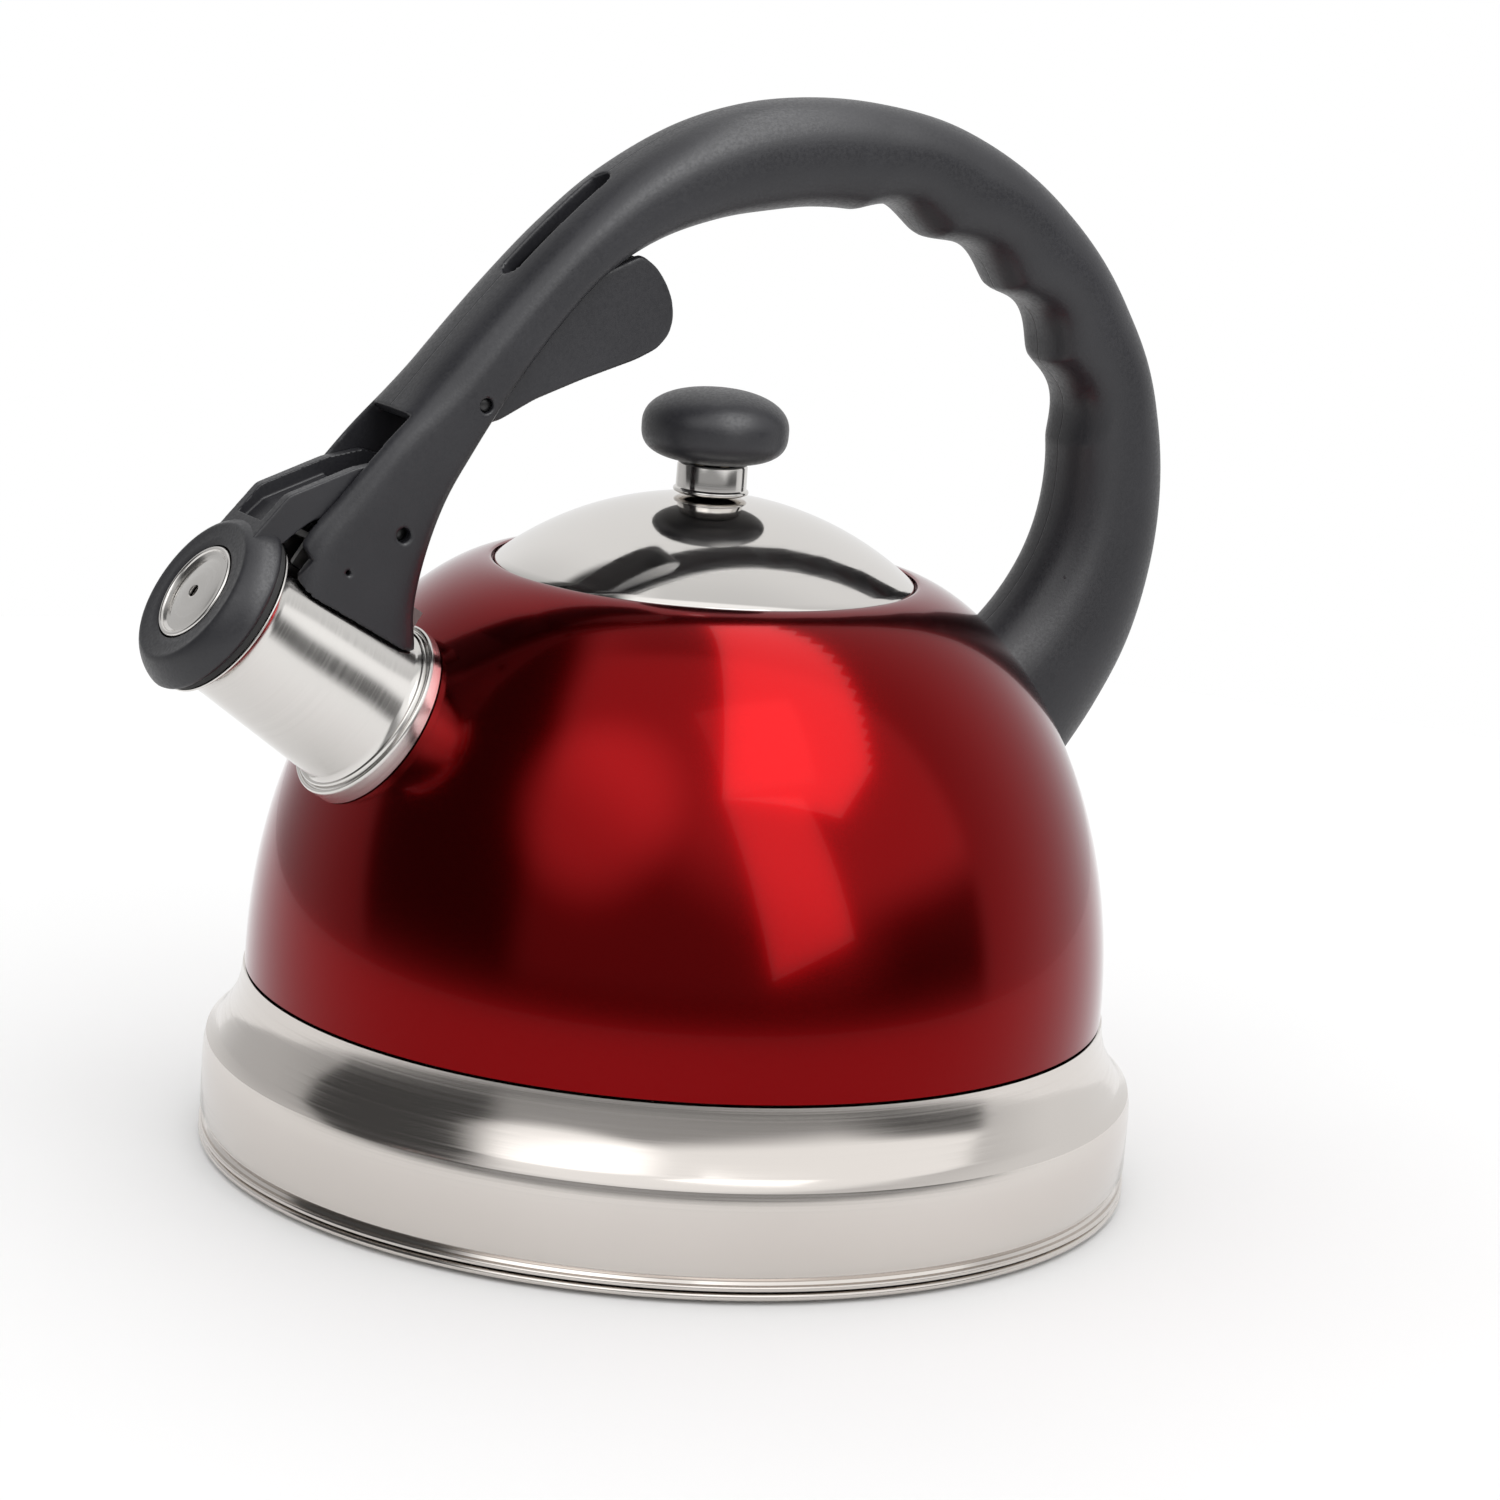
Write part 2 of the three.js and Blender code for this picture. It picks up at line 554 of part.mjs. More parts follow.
// Slots in the lever's flanks, open at the top, in which the trigger's peg runs.
function pegSlot() {
  const reach = Math.hypot(PEG[0] - LEVER_PIVOT[0], PEG[1] - LEVER_PIVOT[1]);
  const [dx, dz] = [(PEG[0] - LEVER_PIVOT[0]) / reach, (PEG[1] - LEVER_PIVOT[1]) / reach];
  const width = PEG_R + GAP;
  const point = (r, s) => [LEVER_PIVOT[0] + dx * r - dz * s, LEVER_PIVOT[1] + dz * r + dx * s];
  const bottom = reach - 0.55;
  const corners = [point(bottom, -width), point(20, -width), point(20, width), point(bottom, width)];
  const walls = plate(corners, -12, 12);
  return join(walls, crossBar(point(bottom, 0), width, -12, 12));
}

function capLever() {
  const outline = [
    [-116.4, 147.4], [-107.8, 156.9], [-92.8, 162.6], [-84, 164.3], [-77.6, 162.6], [-75.6, 159.6],
    [-77.8, 152], ...[0, -30, -60, -90, -120].map((degrees) => polar(LEVER_PIVOT, HUB_R, degrees)),
    [-87.6, 146.8], [-92, 150.8], [-97, 152.4], [-101.5, 151.8], [-105, 149.6], [-109, 146.4],
    [-112, 145],
  ];
  const arm = plate(outline, -LEVER_HALF, LEVER_HALF);
  const trough = plate([
    [-113.6, 153.6], [-111.9, 149.4], [-107, 153.7], [-93.2, 158.9], [-91, 155.8], [-91, 146],
    [-70, 140], [-70, 170], [-105, 170],
  ], -FLANK_HALF, FLANK_HALF);
  const opening = onSpout(disc(CAP_SEAT_R, 30, 47, SPOUT_ROUND));
  const face = onSpout(disc(WHISTLE_R + GAP, 30, 60));
  const behindCap = onSpout(disc(LIP_R + GAP, 20, CAP_BACK_L + GAP, SPOUT_ROUND));
  return cut(
    join(cut(arm, trough, opening, behindCap, face), capRing()),
    pegSlot(), crossBar(LEVER_PIVOT, PIN_R + PIN_PLAY, -20, 20),
  );
}

function tube(points, radius, steps, sides = 6) {
  const curve = new THREE.CatmullRomCurve3(points, false, 'centripetal');
  const shape = new THREE.Shape();
  for (let k = 0; k < sides; k += 1) {
    const [x, y] = polar([0, 0], radius, (360 * k) / sides);
    if (k === 0) shape.moveTo(x, y);
    else shape.lineTo(x, y);
  }
  shape.closePath();
  return solidOf(new THREE.ExtrudeGeometry(shape, { steps, extrudePath: curve, bevelEnabled: false }));
}

// Torsion spring round the lever pin: one leg on the handle's web, the other under the lever's trough.
function returnSpring() {
  const coil = { radius: 3.7, turns: 3.4, start: 270, halfWidth: 2.2 };
  const wireRadius = 0.45;
  const legSide = 2.6;
  const [webX, webZ] = spoutPoint(27.5, 27.9);
  const [leverX, leverZ] = [-88.9, 154.2];
  const points = [new THREE.Vector3(webX, -legSide, webZ)];
  const steps = Math.round(coil.turns * 12);
  for (let i = 0; i <= steps; i += 1) {
    const [x, z] = polar(LEVER_PIVOT, coil.radius, coil.start + (360 * coil.turns * i) / steps);
    points.push(new THREE.Vector3(x, coil.halfWidth * (2 * (i / steps) - 1), z));
  }
  points.push(new THREE.Vector3(leverX, legSide, leverZ));
  return tube(points, wireRadius, steps + 8);
}

// ---- assembly ----
const steel = { color: 0xc9c4bd, roughness: 0.16, metalness: 1 };
const satin = { color: 0xb9b4ae, roughness: 0.36, metalness: 1 };
const black = { color: 0x2b2b2e, roughness: 0.6, metalness: 0 };

const pieces = {
  body_shell: [bodyShell, { color: 0xa3121b, roughness: 0.12, metalness: 0.55 }],
  base_skirt: [baseSkirt, steel],
  bottom_pan: [bottomPan, steel],
  heat_disc: [heatDisc, { color: 0xb4b6b8, roughness: 0.5, metalness: 1 }],
  base_cap: [baseCap, satin],
  spout_tube: [spoutTube, satin],
  front_bracket: [frontBracket, satin],
  foot_pin: [footPin, satin],
  rear_bracket: [rearBracket, satin],
  rear_screw: [rearScrew, satin],
  handle: [handle, black],
  trigger: [trigger, black],
  trigger_pin: [triggerPin, satin],
  cap_lever: [capLever, black],
  lever_pin: [leverPin, satin],
  return_spring: [returnSpring, satin],
  cap_gasket: [capGasket, { color: 0x151515, roughness: 0.85, metalness: 0 }],
  whistle_cup: [whistleCup, steel],
  whistle_back_plate: [whistleBackPlate, satin],
  lid_shell: [lidShell, steel],
  lid_plug_ring: [lidPlugRing, satin],
  lid_washer: [lidWasher, satin],
  knob_screw: [knobScrew, satin],
  knob_collar: [knobCollar, steel],
  knob: [knob, black],
  knob_insert: [knobInsert, { color: 0xb08d4a, roughness: 0.4, metalness: 1 }],
};

const kettle = new THREE.Group();
for (const [name, [make, look]] of Object.entries(pieces)) {
  const mesh = new THREE.Mesh(geometryOf(make()), new THREE.MeshStandardMaterial(look));
  mesh.name = name;
  kettle.add(mesh);
}

export default kettle;
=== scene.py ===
"""Stovetop whistling kettle: fine meshes, materials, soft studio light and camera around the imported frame.

Shapes are in millimetres and become metres when a mesh is made. +Z is up and the spout points to -X.
"""

import json
import math

import bmesh
import bpy
from mathutils import Matrix, Vector


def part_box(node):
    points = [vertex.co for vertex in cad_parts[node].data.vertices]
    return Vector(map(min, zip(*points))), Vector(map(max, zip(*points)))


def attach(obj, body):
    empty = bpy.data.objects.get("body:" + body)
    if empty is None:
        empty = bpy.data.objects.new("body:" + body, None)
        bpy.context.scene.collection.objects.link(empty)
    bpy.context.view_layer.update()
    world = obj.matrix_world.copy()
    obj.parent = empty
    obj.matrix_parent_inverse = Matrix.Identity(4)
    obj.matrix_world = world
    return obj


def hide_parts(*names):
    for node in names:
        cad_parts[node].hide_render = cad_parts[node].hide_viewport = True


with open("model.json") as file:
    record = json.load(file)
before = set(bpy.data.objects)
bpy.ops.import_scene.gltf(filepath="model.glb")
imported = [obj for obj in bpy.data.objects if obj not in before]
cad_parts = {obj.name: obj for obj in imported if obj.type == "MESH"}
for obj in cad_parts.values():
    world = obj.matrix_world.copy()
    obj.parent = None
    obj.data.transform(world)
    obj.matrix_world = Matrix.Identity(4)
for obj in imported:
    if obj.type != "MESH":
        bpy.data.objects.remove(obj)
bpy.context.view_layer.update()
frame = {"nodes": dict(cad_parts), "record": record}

MM = 0.001
GAP = 0.3
SHEET = 0.8


def high(node):
    """Largest x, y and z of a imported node, in millimetres."""
    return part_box(node)[1] / MM


def low(node):
    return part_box(node)[0] / MM


def pivot(joint):
    """A hinge's [x, z] in millimetres."""
    x, _, z = next(j["pos_m"] for j in frame["record"]["behaviour"]["joints"] if j["name"] == joint)
    return x / MM, z / MM


# ---- dimensions, taken from the frame where it has them ----
WALL_R = high("base_skirt").x
WALL_TOP_Z = 19.5
RIDGE = (104, 26.2)
DOME_R = high("body_shell").x
DOME_Z = 41.07
MOUTH_R = 48.78
MOUTH_Z = high("body_shell").z
DOME_RISE = 2.15
DOME_SWELL = 1.51
LEDGE_Z = 134.4
NECK_R = 45

LID_R = high("lid_shell").x
LID_RIM_Z = 136.9
LID_TOP_Z = 154.3
KNOB_R = high("knob").x
KNOB_LOW = low("knob").z
KNOB_HIGH = high("knob").z
KNOB_MIDDLE = 169.6
COLLAR_R = 8.05

SPOUT_ROOT = Vector((-82.6, 0, 107.7))
SPOUT_TILT = math.radians(33.23)
SPOUT_ROOT_R = 18.9
SPOUT_TAPER = 0.055
LIP_L = 41.8
LIP_R = 19.6
FLANGE_R = 21.45
CAP_R = 20.8
CAP_BACK_L = 43.9
CAP_FACE_L = 50.8
CAP_FACE_R = 16.5
WHISTLE_R = 11.2

TRIGGER_PIVOT = pivot("trigger_hinge")
LEVER_PIVOT = pivot("cap_hinge")
TRIGGER_TRAVEL = 12
NOSE_LENGTH = 23.5
PIN_R = 1.5
PIN_PLAY = 0.12
PEG_R = 1.6
CHANNEL_HALF = 9.3
TRIGGER_HALF = high("trigger").y
LEVER_HALF = 8.8
FLANK_HALF = 6
NOSE_HALF = 5.4
HANDLE_HALF = 13


# ---- outlines ----
def polar(centre, radius, degrees):
    angle = math.radians(degrees)
    return centre[0] + radius * math.cos(angle), centre[1] + radius * math.sin(angle)


def arc(centre, radius, start, end, steps=8):
    return [polar(centre, radius, start + (end - start) * i / steps) for i in range(steps + 1)]


def eased(points, reach, closed=True, steps=4):
    """Rounds each corner of an outline, starting the given distance before it."""
    out = []
    count = len(points)
    for i, here in enumerate(points):
        if not closed and i in (0, count - 1):
            out.append(here)
            continue
        here = Vector(here)
        before = Vector(points[i - 1]) - here
        after = Vector(points[(i + 1) % count]) - here
        start = here + before.normalized() * min(reach, before.length * 0.45)
        end = here + after.normalized() * min(reach, after.length * 0.45)
        for k in range(steps + 1):
            t = k / steps
            out.append(tuple(start * (1 - t) ** 2 + here * 2 * t * (1 - t) + end * t ** 2))
    return out


def centripetal(points, u):
    """Point of a centripetal Catmull-Rom curve through [x, z] points, at u from 0 to 1."""
    last = len(points) - 1
    place = min(u * last, last - 1e-9)
    i = int(place)
    t = place - i
    p1, p2 = Vector(points[i]), Vector(points[i + 1])
    p0 = Vector(points[i - 1]) if i > 0 else 2 * p1 - p2
    p3 = Vector(points[i + 2]) if i + 2 <= last else 2 * p2 - p1
    d0, d1, d2 = (math.sqrt((b - a).length) for a, b in ((p0, p1), (p1, p2), (p2, p3)))
    leave = ((p1 - p0) / d0 - (p2 - p0) / (d0 + d1) + (p2 - p1) / d1) * d1
    arrive = ((p2 - p1) / d1 - (p3 - p1) / (d1 + d2) + (p3 - p2) / d2) * d1
    cubic = 2 * p1 - 2 * p2 + leave + arrive
    square = -3 * p1 + 3 * p2 - 2 * leave - arrive
    return p1 + leave * t + square * t ** 2 + cubic * t ** 3


def smooth_step(value, start, end):
    t = min(max((value - start) / (end - start), 0), 1)
    return t * t * (3 - 2 * t)


def blend(a, b, t):
    return a + (b - a) * t


# ---- meshes ----
def add_object(name, bm, place=None, crease=32):
    bmesh.ops.recalc_face_normals(bm, faces=bm.faces)
    mesh = bpy.data.meshes.new(name)
    bm.to_mesh(mesh)
    bm.free()
    if place:
        mesh.transform(place)
    obj = bpy.data.objects.new(name, mesh)
    bpy.context.scene.collection.objects.link(obj)
    shade(obj, crease)
    return obj


def shade(obj, crease=32):
    obj.data.shade_smooth()
    obj.data.set_sharp_from_angle(angle=math.radians(crease))


def lathe(name, profile, sides=192, place=None, crease=32):
    """A turned solid about +Z from (radius, height) points: a closed loop, or a line from axis to axis."""
    bm = bmesh.new()
    turns = [(math.cos(2 * math.pi * k / sides), math.sin(2 * math.pi * k / sides)) for k in range(sides)]
    rows = []
    for radius, height in profile:
        around = turns if radius > 1e-6 else [(0, 0)]
        rows.append([bm.verts.new((radius * c * MM, radius * s * MM, height * MM)) for c, s in around])
    nexts = rows[1:] + rows[:1] if profile[0][0] > 1e-6 else rows[1:]
    for a, b in zip(rows, nexts):
        for k in range(sides):
            n = (k + 1) % sides
            corners = dict.fromkeys((a[k % len(a)], a[n % len(a)], b[n % len(b)], b[k % len(b)]))
            if len(corners) > 2:
                bm.faces.new(corners)
    return add_object(name, bm, place, crease)


def disc(name, radius, start, end, sides=96, place=None):
    return lathe(name, [(0, start), (radius, start), (radius, end), (0, end)], sides, place)


def prism(name, outline, start, end):
    """A plate with an outline of [x, z] points, between two y values."""
    bm = bmesh.new()
    near = [bm.verts.new((x * MM, start * MM, z * MM)) for x, z in outline]
    far = [bm.verts.new((x * MM, end * MM, z * MM)) for x, z in outline]
    bm.faces.new(near)
    bm.faces.new(far[::-1])
    for i in range(len(outline)):
        bm.faces.new((near[i - 1], near[i], far[i], far[i - 1]))
    return add_object(name, bm)


def cross_bar(name, centre, radius, half, sides=48, ease=0.0):
    """A round bar along Y through [x, z], with its ends eased."""
    turn = Matrix.Translation((centre[0] * MM, 0, centre[1] * MM)) @ Matrix.Rotation(math.pi / 2, 4, "X")
    if ease:
        ends = [(radius - ease, -half), (radius, ease - half), (radius, half - ease), (radius - ease, half)]
        return lathe(name, [(0, -half), *ends, (0, half)], sides, turn, crease=60)
    return disc(name, radius, -half, half, sides, turn)


def box(name, x, y, z, place):
    bm = bmesh.new()
    bmesh.ops.create_cube(bm, size=1)
    for vert in bm.verts:
        for axis, (start, end) in enumerate((x, y, z)):
            vert.co[axis] = (start if vert.co[axis] < 0 else end) * MM
    return add_object(name, bm, place)


def settle(piece):
    """Applies a piece's modifiers to its mesh."""
    graph = bpy.context.evaluated_depsgraph_get()
    mesh = bpy.data.meshes.new_from_object(piece.evaluated_get(graph))
    old = piece.data
    piece.modifiers.clear()
    piece.data = mesh
    bpy.data.meshes.remove(old)


def combine(piece, tools, operation="DIFFERENCE"):
    for tool in tools:
        step = piece.modifiers.new("combine", "BOOLEAN")
        step.object = tool
        step.operation = operation
        step.solver = "EXACT"
        settle(piece)
        bpy.data.objects.remove(tool)
    return piece


def moulded(piece, voxel, rounds, keep=1.0):
    """Gives a cut-out solid one skin with softly rounded edges, as a moulding has."""
    skin = piece.modifiers.new("skin", "REMESH")
    skin.mode = "VOXEL"
    skin.voxel_size = voxel * MM
    ease = piece.modifiers.new("ease", "SMOOTH")
    ease.factor = 0.5
    ease.iterations = rounds
    if keep < 1:
        thin = piece.modifiers.new("thin", "DECIMATE")
        thin.ratio = keep
    settle(piece)
    shade(piece, crease=60)
    return piece


# ---- frame of the spout: +Z along it, +X up away from the vessel ----
spout_axis = Vector((-math.cos(SPOUT_TILT), 0, math.sin(SPOUT_TILT)))
spout_up = Vector((math.sin(SPOUT_TILT), 0, math.cos(SPOUT_TILT)))
SPOUT = Matrix.Translation(SPOUT_ROOT * MM)
SPOUT = SPOUT @ Matrix((spout_up, spout_axis.cross(spout_up), spout_axis)).transposed().to_4x4()


def spout_point(along, above):
    point = SPOUT_ROOT + spout_axis * along + spout_up * above
    return point.x, point.z


def spout_radius(along):
    return SPOUT_ROOT_R - SPOUT_TAPER * along


# ---- vessel ----
def dome_radius(z):
    t = min(max((z - DOME_Z) / (MOUTH_Z - DOME_Z), 0), 1)
    return MOUTH_R + (DOME_R - MOUTH_R) * (1 - t ** DOME_RISE) ** (1 / DOME_SWELL)


def dome_line(offset=0.0, steps=72):
    """Points up the dome from its foot to the opening, moved out along its normal."""
    line = []
    for i in range(steps + 1):
        z = DOME_Z + (MOUTH_Z - DOME_Z) * math.sin(math.pi / 2 * i / steps)
        line.append(Vector((dome_radius(z), z)))
    out = []
    for i, point in enumerate(line):
        run = line[min(i + 1, steps)] - line[max(i - 1, 0)]
        out.append(tuple(point + Vector((run.y, -run.x)).normalized() * offset))
    return out


def dome_solid(name, clearance):
    line = dome_line(clearance)
    return lathe(name, [(0, DOME_Z), *line, (0, line[-1][1])])


def body_shell():
    outside = dome_line()
    outside[0] = (DOME_R, DOME_Z + GAP)
    inside = [p for p in dome_line(-SHEET) if p[0] > MOUTH_R + SHEET and p[1] > DOME_Z + GAP][::-1]
    neck = eased([
        (MOUTH_R - 0.5, MOUTH_Z - 0.2), (MOUTH_R - 0.5, LEDGE_Z), (NECK_R, LEDGE_Z), (NECK_R, 130),
        (NECK_R + SHEET, 130), (NECK_R + SHEET, LEDGE_Z - SHEET), (MOUTH_R + 0.2, LEDGE_Z - SHEET),
    ], 0.35, closed=False)
    shell = lathe("painted_body", [*outside, *neck, *inside], sides=256)
    combine(shell, [disc("hole", 15.5, -20, 10, place=SPOUT)])
    shade(shell)
    return shell


def base_skirt():
    shoulder = [
        (WALL_R, 8), (WALL_R, WALL_TOP_Z), (WALL_R - 0.15, 22), (WALL_R - 0.6, 24.4), (RIDGE[0] + 0.25, 25.9),
        (RIDGE[0] - 0.3, 26.7), (102.4, 28.9), (101, 31.2), (100.1, 33.4), (99.3, 36.4),
        (98.75, DOME_Z - GAP),
    ]
    inside = [
        (97.2, DOME_Z), (97.2, 46), (96.4, 46), (96.4, 40), (100.2, 30.8), (103, 25.7), (WALL_R - SHEET, 21),
        (WALL_R - SHEET, 6), (104, 5.1), (104, 2.9), (106.9, 3.1),
    ]
    bead = arc((106.45, 3.55), 0.55, -30, 110, 8)
    foot = [(105.9, 4.2), (105.5, 4.8), (105.75, 5.5)]
    return lathe("steel_skirt", [*shoulder, *inside, *bead, *foot], sides=256)


def bottom_pan():
    bead = arc((106.2, 1.65), 0.8, -60, 60, 8)
    return lathe("pan_rim", [
        (0, 3.7), (101.2, 3.7), (102.4, 1.5), (103, 1), *bead, (106, 2.6), (103.7, 2.6), (103.7, 4.1),
        (101.6, 4.5), (0, 4.5),
    ], sides=256)


def base_cap():
    return lathe("base_plate", [
        (0, 0), (85.6, 0), *arc((86, 1.2), 1.2, -70, 0, 6), (87.3, 3.4), (86.4, 3.4), (86.4, 1.2),
        (86, 0.8), (0, 0.8),
    ], sides=192)


# ---- lid ----
def lid_z(radius, offset=0.0):
    rise = LID_TOP_Z - LID_RIM_Z
    sphere = (LID_R ** 2 + rise ** 2) / (2 * rise)
    return LID_TOP_Z - sphere + math.sqrt((sphere + offset) ** 2 - radius ** 2)


def lid_shell():
    steps = 40
    radii = [2.5 + (LID_R - 0.45 - 2.5) * i / steps for i in range(steps + 1)]
    top = [(r, lid_z(r)) for r in radii]
    rim = [(LID_R - 0.12, LID_RIM_Z - 0.1), (LID_R - 0.02, LID_RIM_Z - 0.5), (LID_R - 0.1, LEDGE_Z + GAP),
           (LID_R - SHEET, LEDGE_Z + GAP)]
    under = [(r, lid_z(r, -SHEET)) for r in radii if r < LID_R - SHEET][::-1]
    return lathe("lid_dome", [*top, *rim, *under], sides=256)


def lid_plug_ring():
    weld = 41
    top = lid_z(weld, -SHEET - GAP)
    return lathe("lid_plug", eased([
        (44.4, 127.5), (44.4, 136.6), (weld, top), (weld, top - SHEET), (44.4 - SHEET, 135.6),
        (44.4 - SHEET, 127.5),
    ], 0.35))


def knob_collar():
    bead = arc((COLLAR_R - 0.05, 155.3), 0.55, -70, 70, 8)
    return lathe("knob_ferrule", [
        (3, 154.6), (COLLAR_R - 0.3, 154.6), *bead, (COLLAR_R - 0.05, 156), (COLLAR_R - 0.1, 161),
        (COLLAR_R - 0.3, 161.4), (3, 161.4),
    ], sides=96)


def knob():
    """A flattened ball, fuller below its widest line than above it."""
    profile = [(4.3, KNOB_LOW)]
    steps = 56
    for i in range(steps + 1):
        angle = math.radians(blend(-74, 90, i / steps))
        c, s = max(math.cos(angle), 0), math.sin(angle)
        power = 0.88 if s > 0 else 0.66
        height = KNOB_HIGH - KNOB_MIDDLE if s > 0 else KNOB_MIDDLE - KNOB_LOW
        profile.append((KNOB_R * c ** power, KNOB_MIDDLE + height * math.copysign(abs(s) ** power, s)))
    profile[-1] = (0, KNOB_HIGH)
    return lathe("knob_grip", [(0, 171.4), (4.3, 171.4), *profile], sides=128)


# ---- spout and cap ----
def spout_tube():
    flange = [(FLANGE_R, -8), (FLANGE_R, 0.2), *arc((20.9, 0.55), 0.55, 0, 150, 8)]
    groove = [(20.25, 0.95), (20.1, 1.0), *arc((19.45, 1.35), 0.55, 0, 110, 8), (spout_radius(3) + 0.1, 2.5)]
    side = [(spout_radius(along), along) for along in (3.4, 10, 20, 30, 38, 40)]
    lip = [(18.2, 40.6), (18.9, 41), *arc((LIP_R - 0.3, 41.5), 0.3, -60, 120, 8), (18.5, LIP_L - 0.1)]
    bore = [(spout_radius(40) - SHEET, 40.8), (spout_radius(0) - SHEET, 0), (spout_radius(0) - SHEET, -8)]
    neck = [*side[:-1], (16.85, 39.6), (17.3, 40.3)]
    tube = lathe("spout", [*flange, *groove, *neck, *lip, *bore], 160, SPOUT)
    combine(tube, [dome_solid("room", GAP)])
    shade(tube)
    return tube


def spout_room(name, clearance):
    return lathe(name, [
        (0, -10), (FLANGE_R + clearance, -10), (FLANGE_R + clearance, 2 + clearance),
        (spout_radius(4) + clearance, 3 + clearance), (spout_radius(50) + clearance, 50), (0, 50),
    ], 96, SPOUT)


def cap_ring():
    """Moulded ring round the whistle: a dished front, a soft edge and a bulged side down to its back rim."""
    side = []
    for i in range(15):
        angle = math.radians(90 * i / 14)
        radius = CAP_FACE_R + (CAP_R - CAP_FACE_R) * max(math.cos(angle), 0) ** 1.4
        side.append((radius, CAP_BACK_L + 0.9 + (CAP_FACE_L - CAP_BACK_L - 0.9) * math.sin(angle) ** 1.4))
    front = [
        (CAP_FACE_R - 0.5, CAP_FACE_L - 0.06), (CAP_FACE_R - 1.2, CAP_FACE_L - 0.22),
        (13.6, CAP_FACE_L - 0.42),
    ]
    return lathe("cap_ring", [
        (WHISTLE_R + GAP, 44.2), (13, 44.2), (13, 47), (18.6, 47), (18.6, CAP_BACK_L), (20.2, CAP_BACK_L),
        (20.6, CAP_BACK_L + 0.25), *side, *front, (WHISTLE_R + GAP + 0.3, CAP_FACE_L - 0.5),
        (WHISTLE_R + GAP, CAP_FACE_L - 0.7),
    ], 160, SPOUT, crease=50)


def cap_gasket():
    return lathe("cap_seal", eased([
        (13.4, 42.1), (19.6, 42.1), (19.6, 43.6), (18.2, 43.6), (18.2, 46.6), (13.4, 46.6),
    ], 0.3), 128, SPOUT)


def whistle_cup():
    """Whistle disc: a low dome with a punched hole, a dish round it and a rolled rim."""
    steps = 14
    dome = [(1.6 + 6.9 * i / steps, 50.45 - 0.75 * (i / steps) ** 2) for i in range(steps + 1)]
    rim = arc((10.55, 50.0), 0.62, 165, 0, 12)
    hole = [(1.6, 49.7), (1.35, 50.0), (1.42, 50.35)]
    return lathe("whistle_disc", [
        *hole, *dome, (9.3, 49.72), *rim, (WHISTLE_R, 44.2), (WHISTLE_R - SHEET, 44.2),
        (WHISTLE_R - SHEET, 48.9), (6, 49.4),
    ], 96, SPOUT)


def whistle_back_plate():
    outline = eased([(1.8, 44.6), (10.1, 44.6), (10.1, 45.4), (1.8, 45.4)], 0.2)
    return lathe("whistle_plate", outline, 96, SPOUT)


# ---- handle: matching [x, z] points of its crown and grip lines, from the spout to the back of the dome ----
CROWN = [
    (-109.2, 134.7), (-107.9, 137.4), (-104.9, 147.6), (-96.6, 157.4), (-88.2, 166.9), (-80.6, 175.6),
    (-69, 189.2), (-57, 202.6), (-44.5, 215.3), (-31.5, 226.4), (-13.5, 236.8), (3.5, 242), (20.7, 243.7),
    (37, 242.8), (55, 239), (73, 230.6), (89, 218.6), (102, 204), (111.5, 188.5), (117.5, 172),
    (120.2, 155), (119.6, 138), (115, 119), (106.5, 102.5), (92, 82),
]
GRIP = [
    (-78.6, 114.7), (-76.3, 121.5), (-77.1, 131), (-75.6, 142), (-71.5, 155), (-65.5, 166), (-57.8, 178.2),
    (-47.5, 192), (-35.5, 204.5), (-23, 211.8), (-7, 216.6), (7, 218.6), (19, 219.6), (31, 218.9),
    (45, 215.4), (60.5, 208.6), (73, 200.4), (82.5, 190.3), (89.3, 177.6), (93.3, 164.5), (93.2, 152),
    (90, 140.5), (84.2, 130.5), (76.5, 122), (66, 114),
]
FINGER_SPAN = (0.535, 0.79)
FINGER_COUNT = 4
FINGER_DEPTH = 3.3


def finger_groove(u):
    start, end = FINGER_SPAN
    if not start < u < end:
        return 0
    return FINGER_DEPTH * abs(math.sin(math.pi * FINGER_COUNT * (u - start) / (end - start))) ** 1.3


def handle_blank():
    rings, around = 260, 64
    bm = bmesh.new()
    rows = []
    for i in range(rings + 1):
        u = i / rings
        outer, inner = centripetal(CROWN, u), centripetal(GRIP, u)
        across = (outer - inner).normalized()
        inner += across * finger_groove(u)
        middle, deep = (outer + inner) / 2, (outer - inner).length / 2
        hold = smooth_step(u, 0.2, 0.5)
        half = HANDLE_HALF + 1.5 * smooth_step(u, 0.85, 1)
        outer_power = blend(blend(5.5, 2.7, smooth_step(u, 0.16, 0.24)), 2.4, hold)
        inner_power = blend(6, 2.4, hold)
        row = []
        for k in range(around):
            angle = 2 * math.pi * (k + 0.5) / around
            c, s = math.cos(angle), math.sin(angle)
            power = 2 / (outer_power if s > 0 else inner_power)
            y = half * math.copysign(abs(c) ** power, c)
            place = middle + across * deep * math.copysign(abs(s) ** power, s)
            row.append(bm.verts.new((place.x * MM, y * MM, place.y * MM)))
        rows.append(row)
    for a, b in zip(rows, rows[1:]):
        for k in range(around):
            bm.faces.new((a[k - 1], a[k], b[k], b[k - 1]))
    bm.faces.new(rows[0])
    bm.faces.new(rows[-1][::-1])
    return add_object("grip_handle", bm)


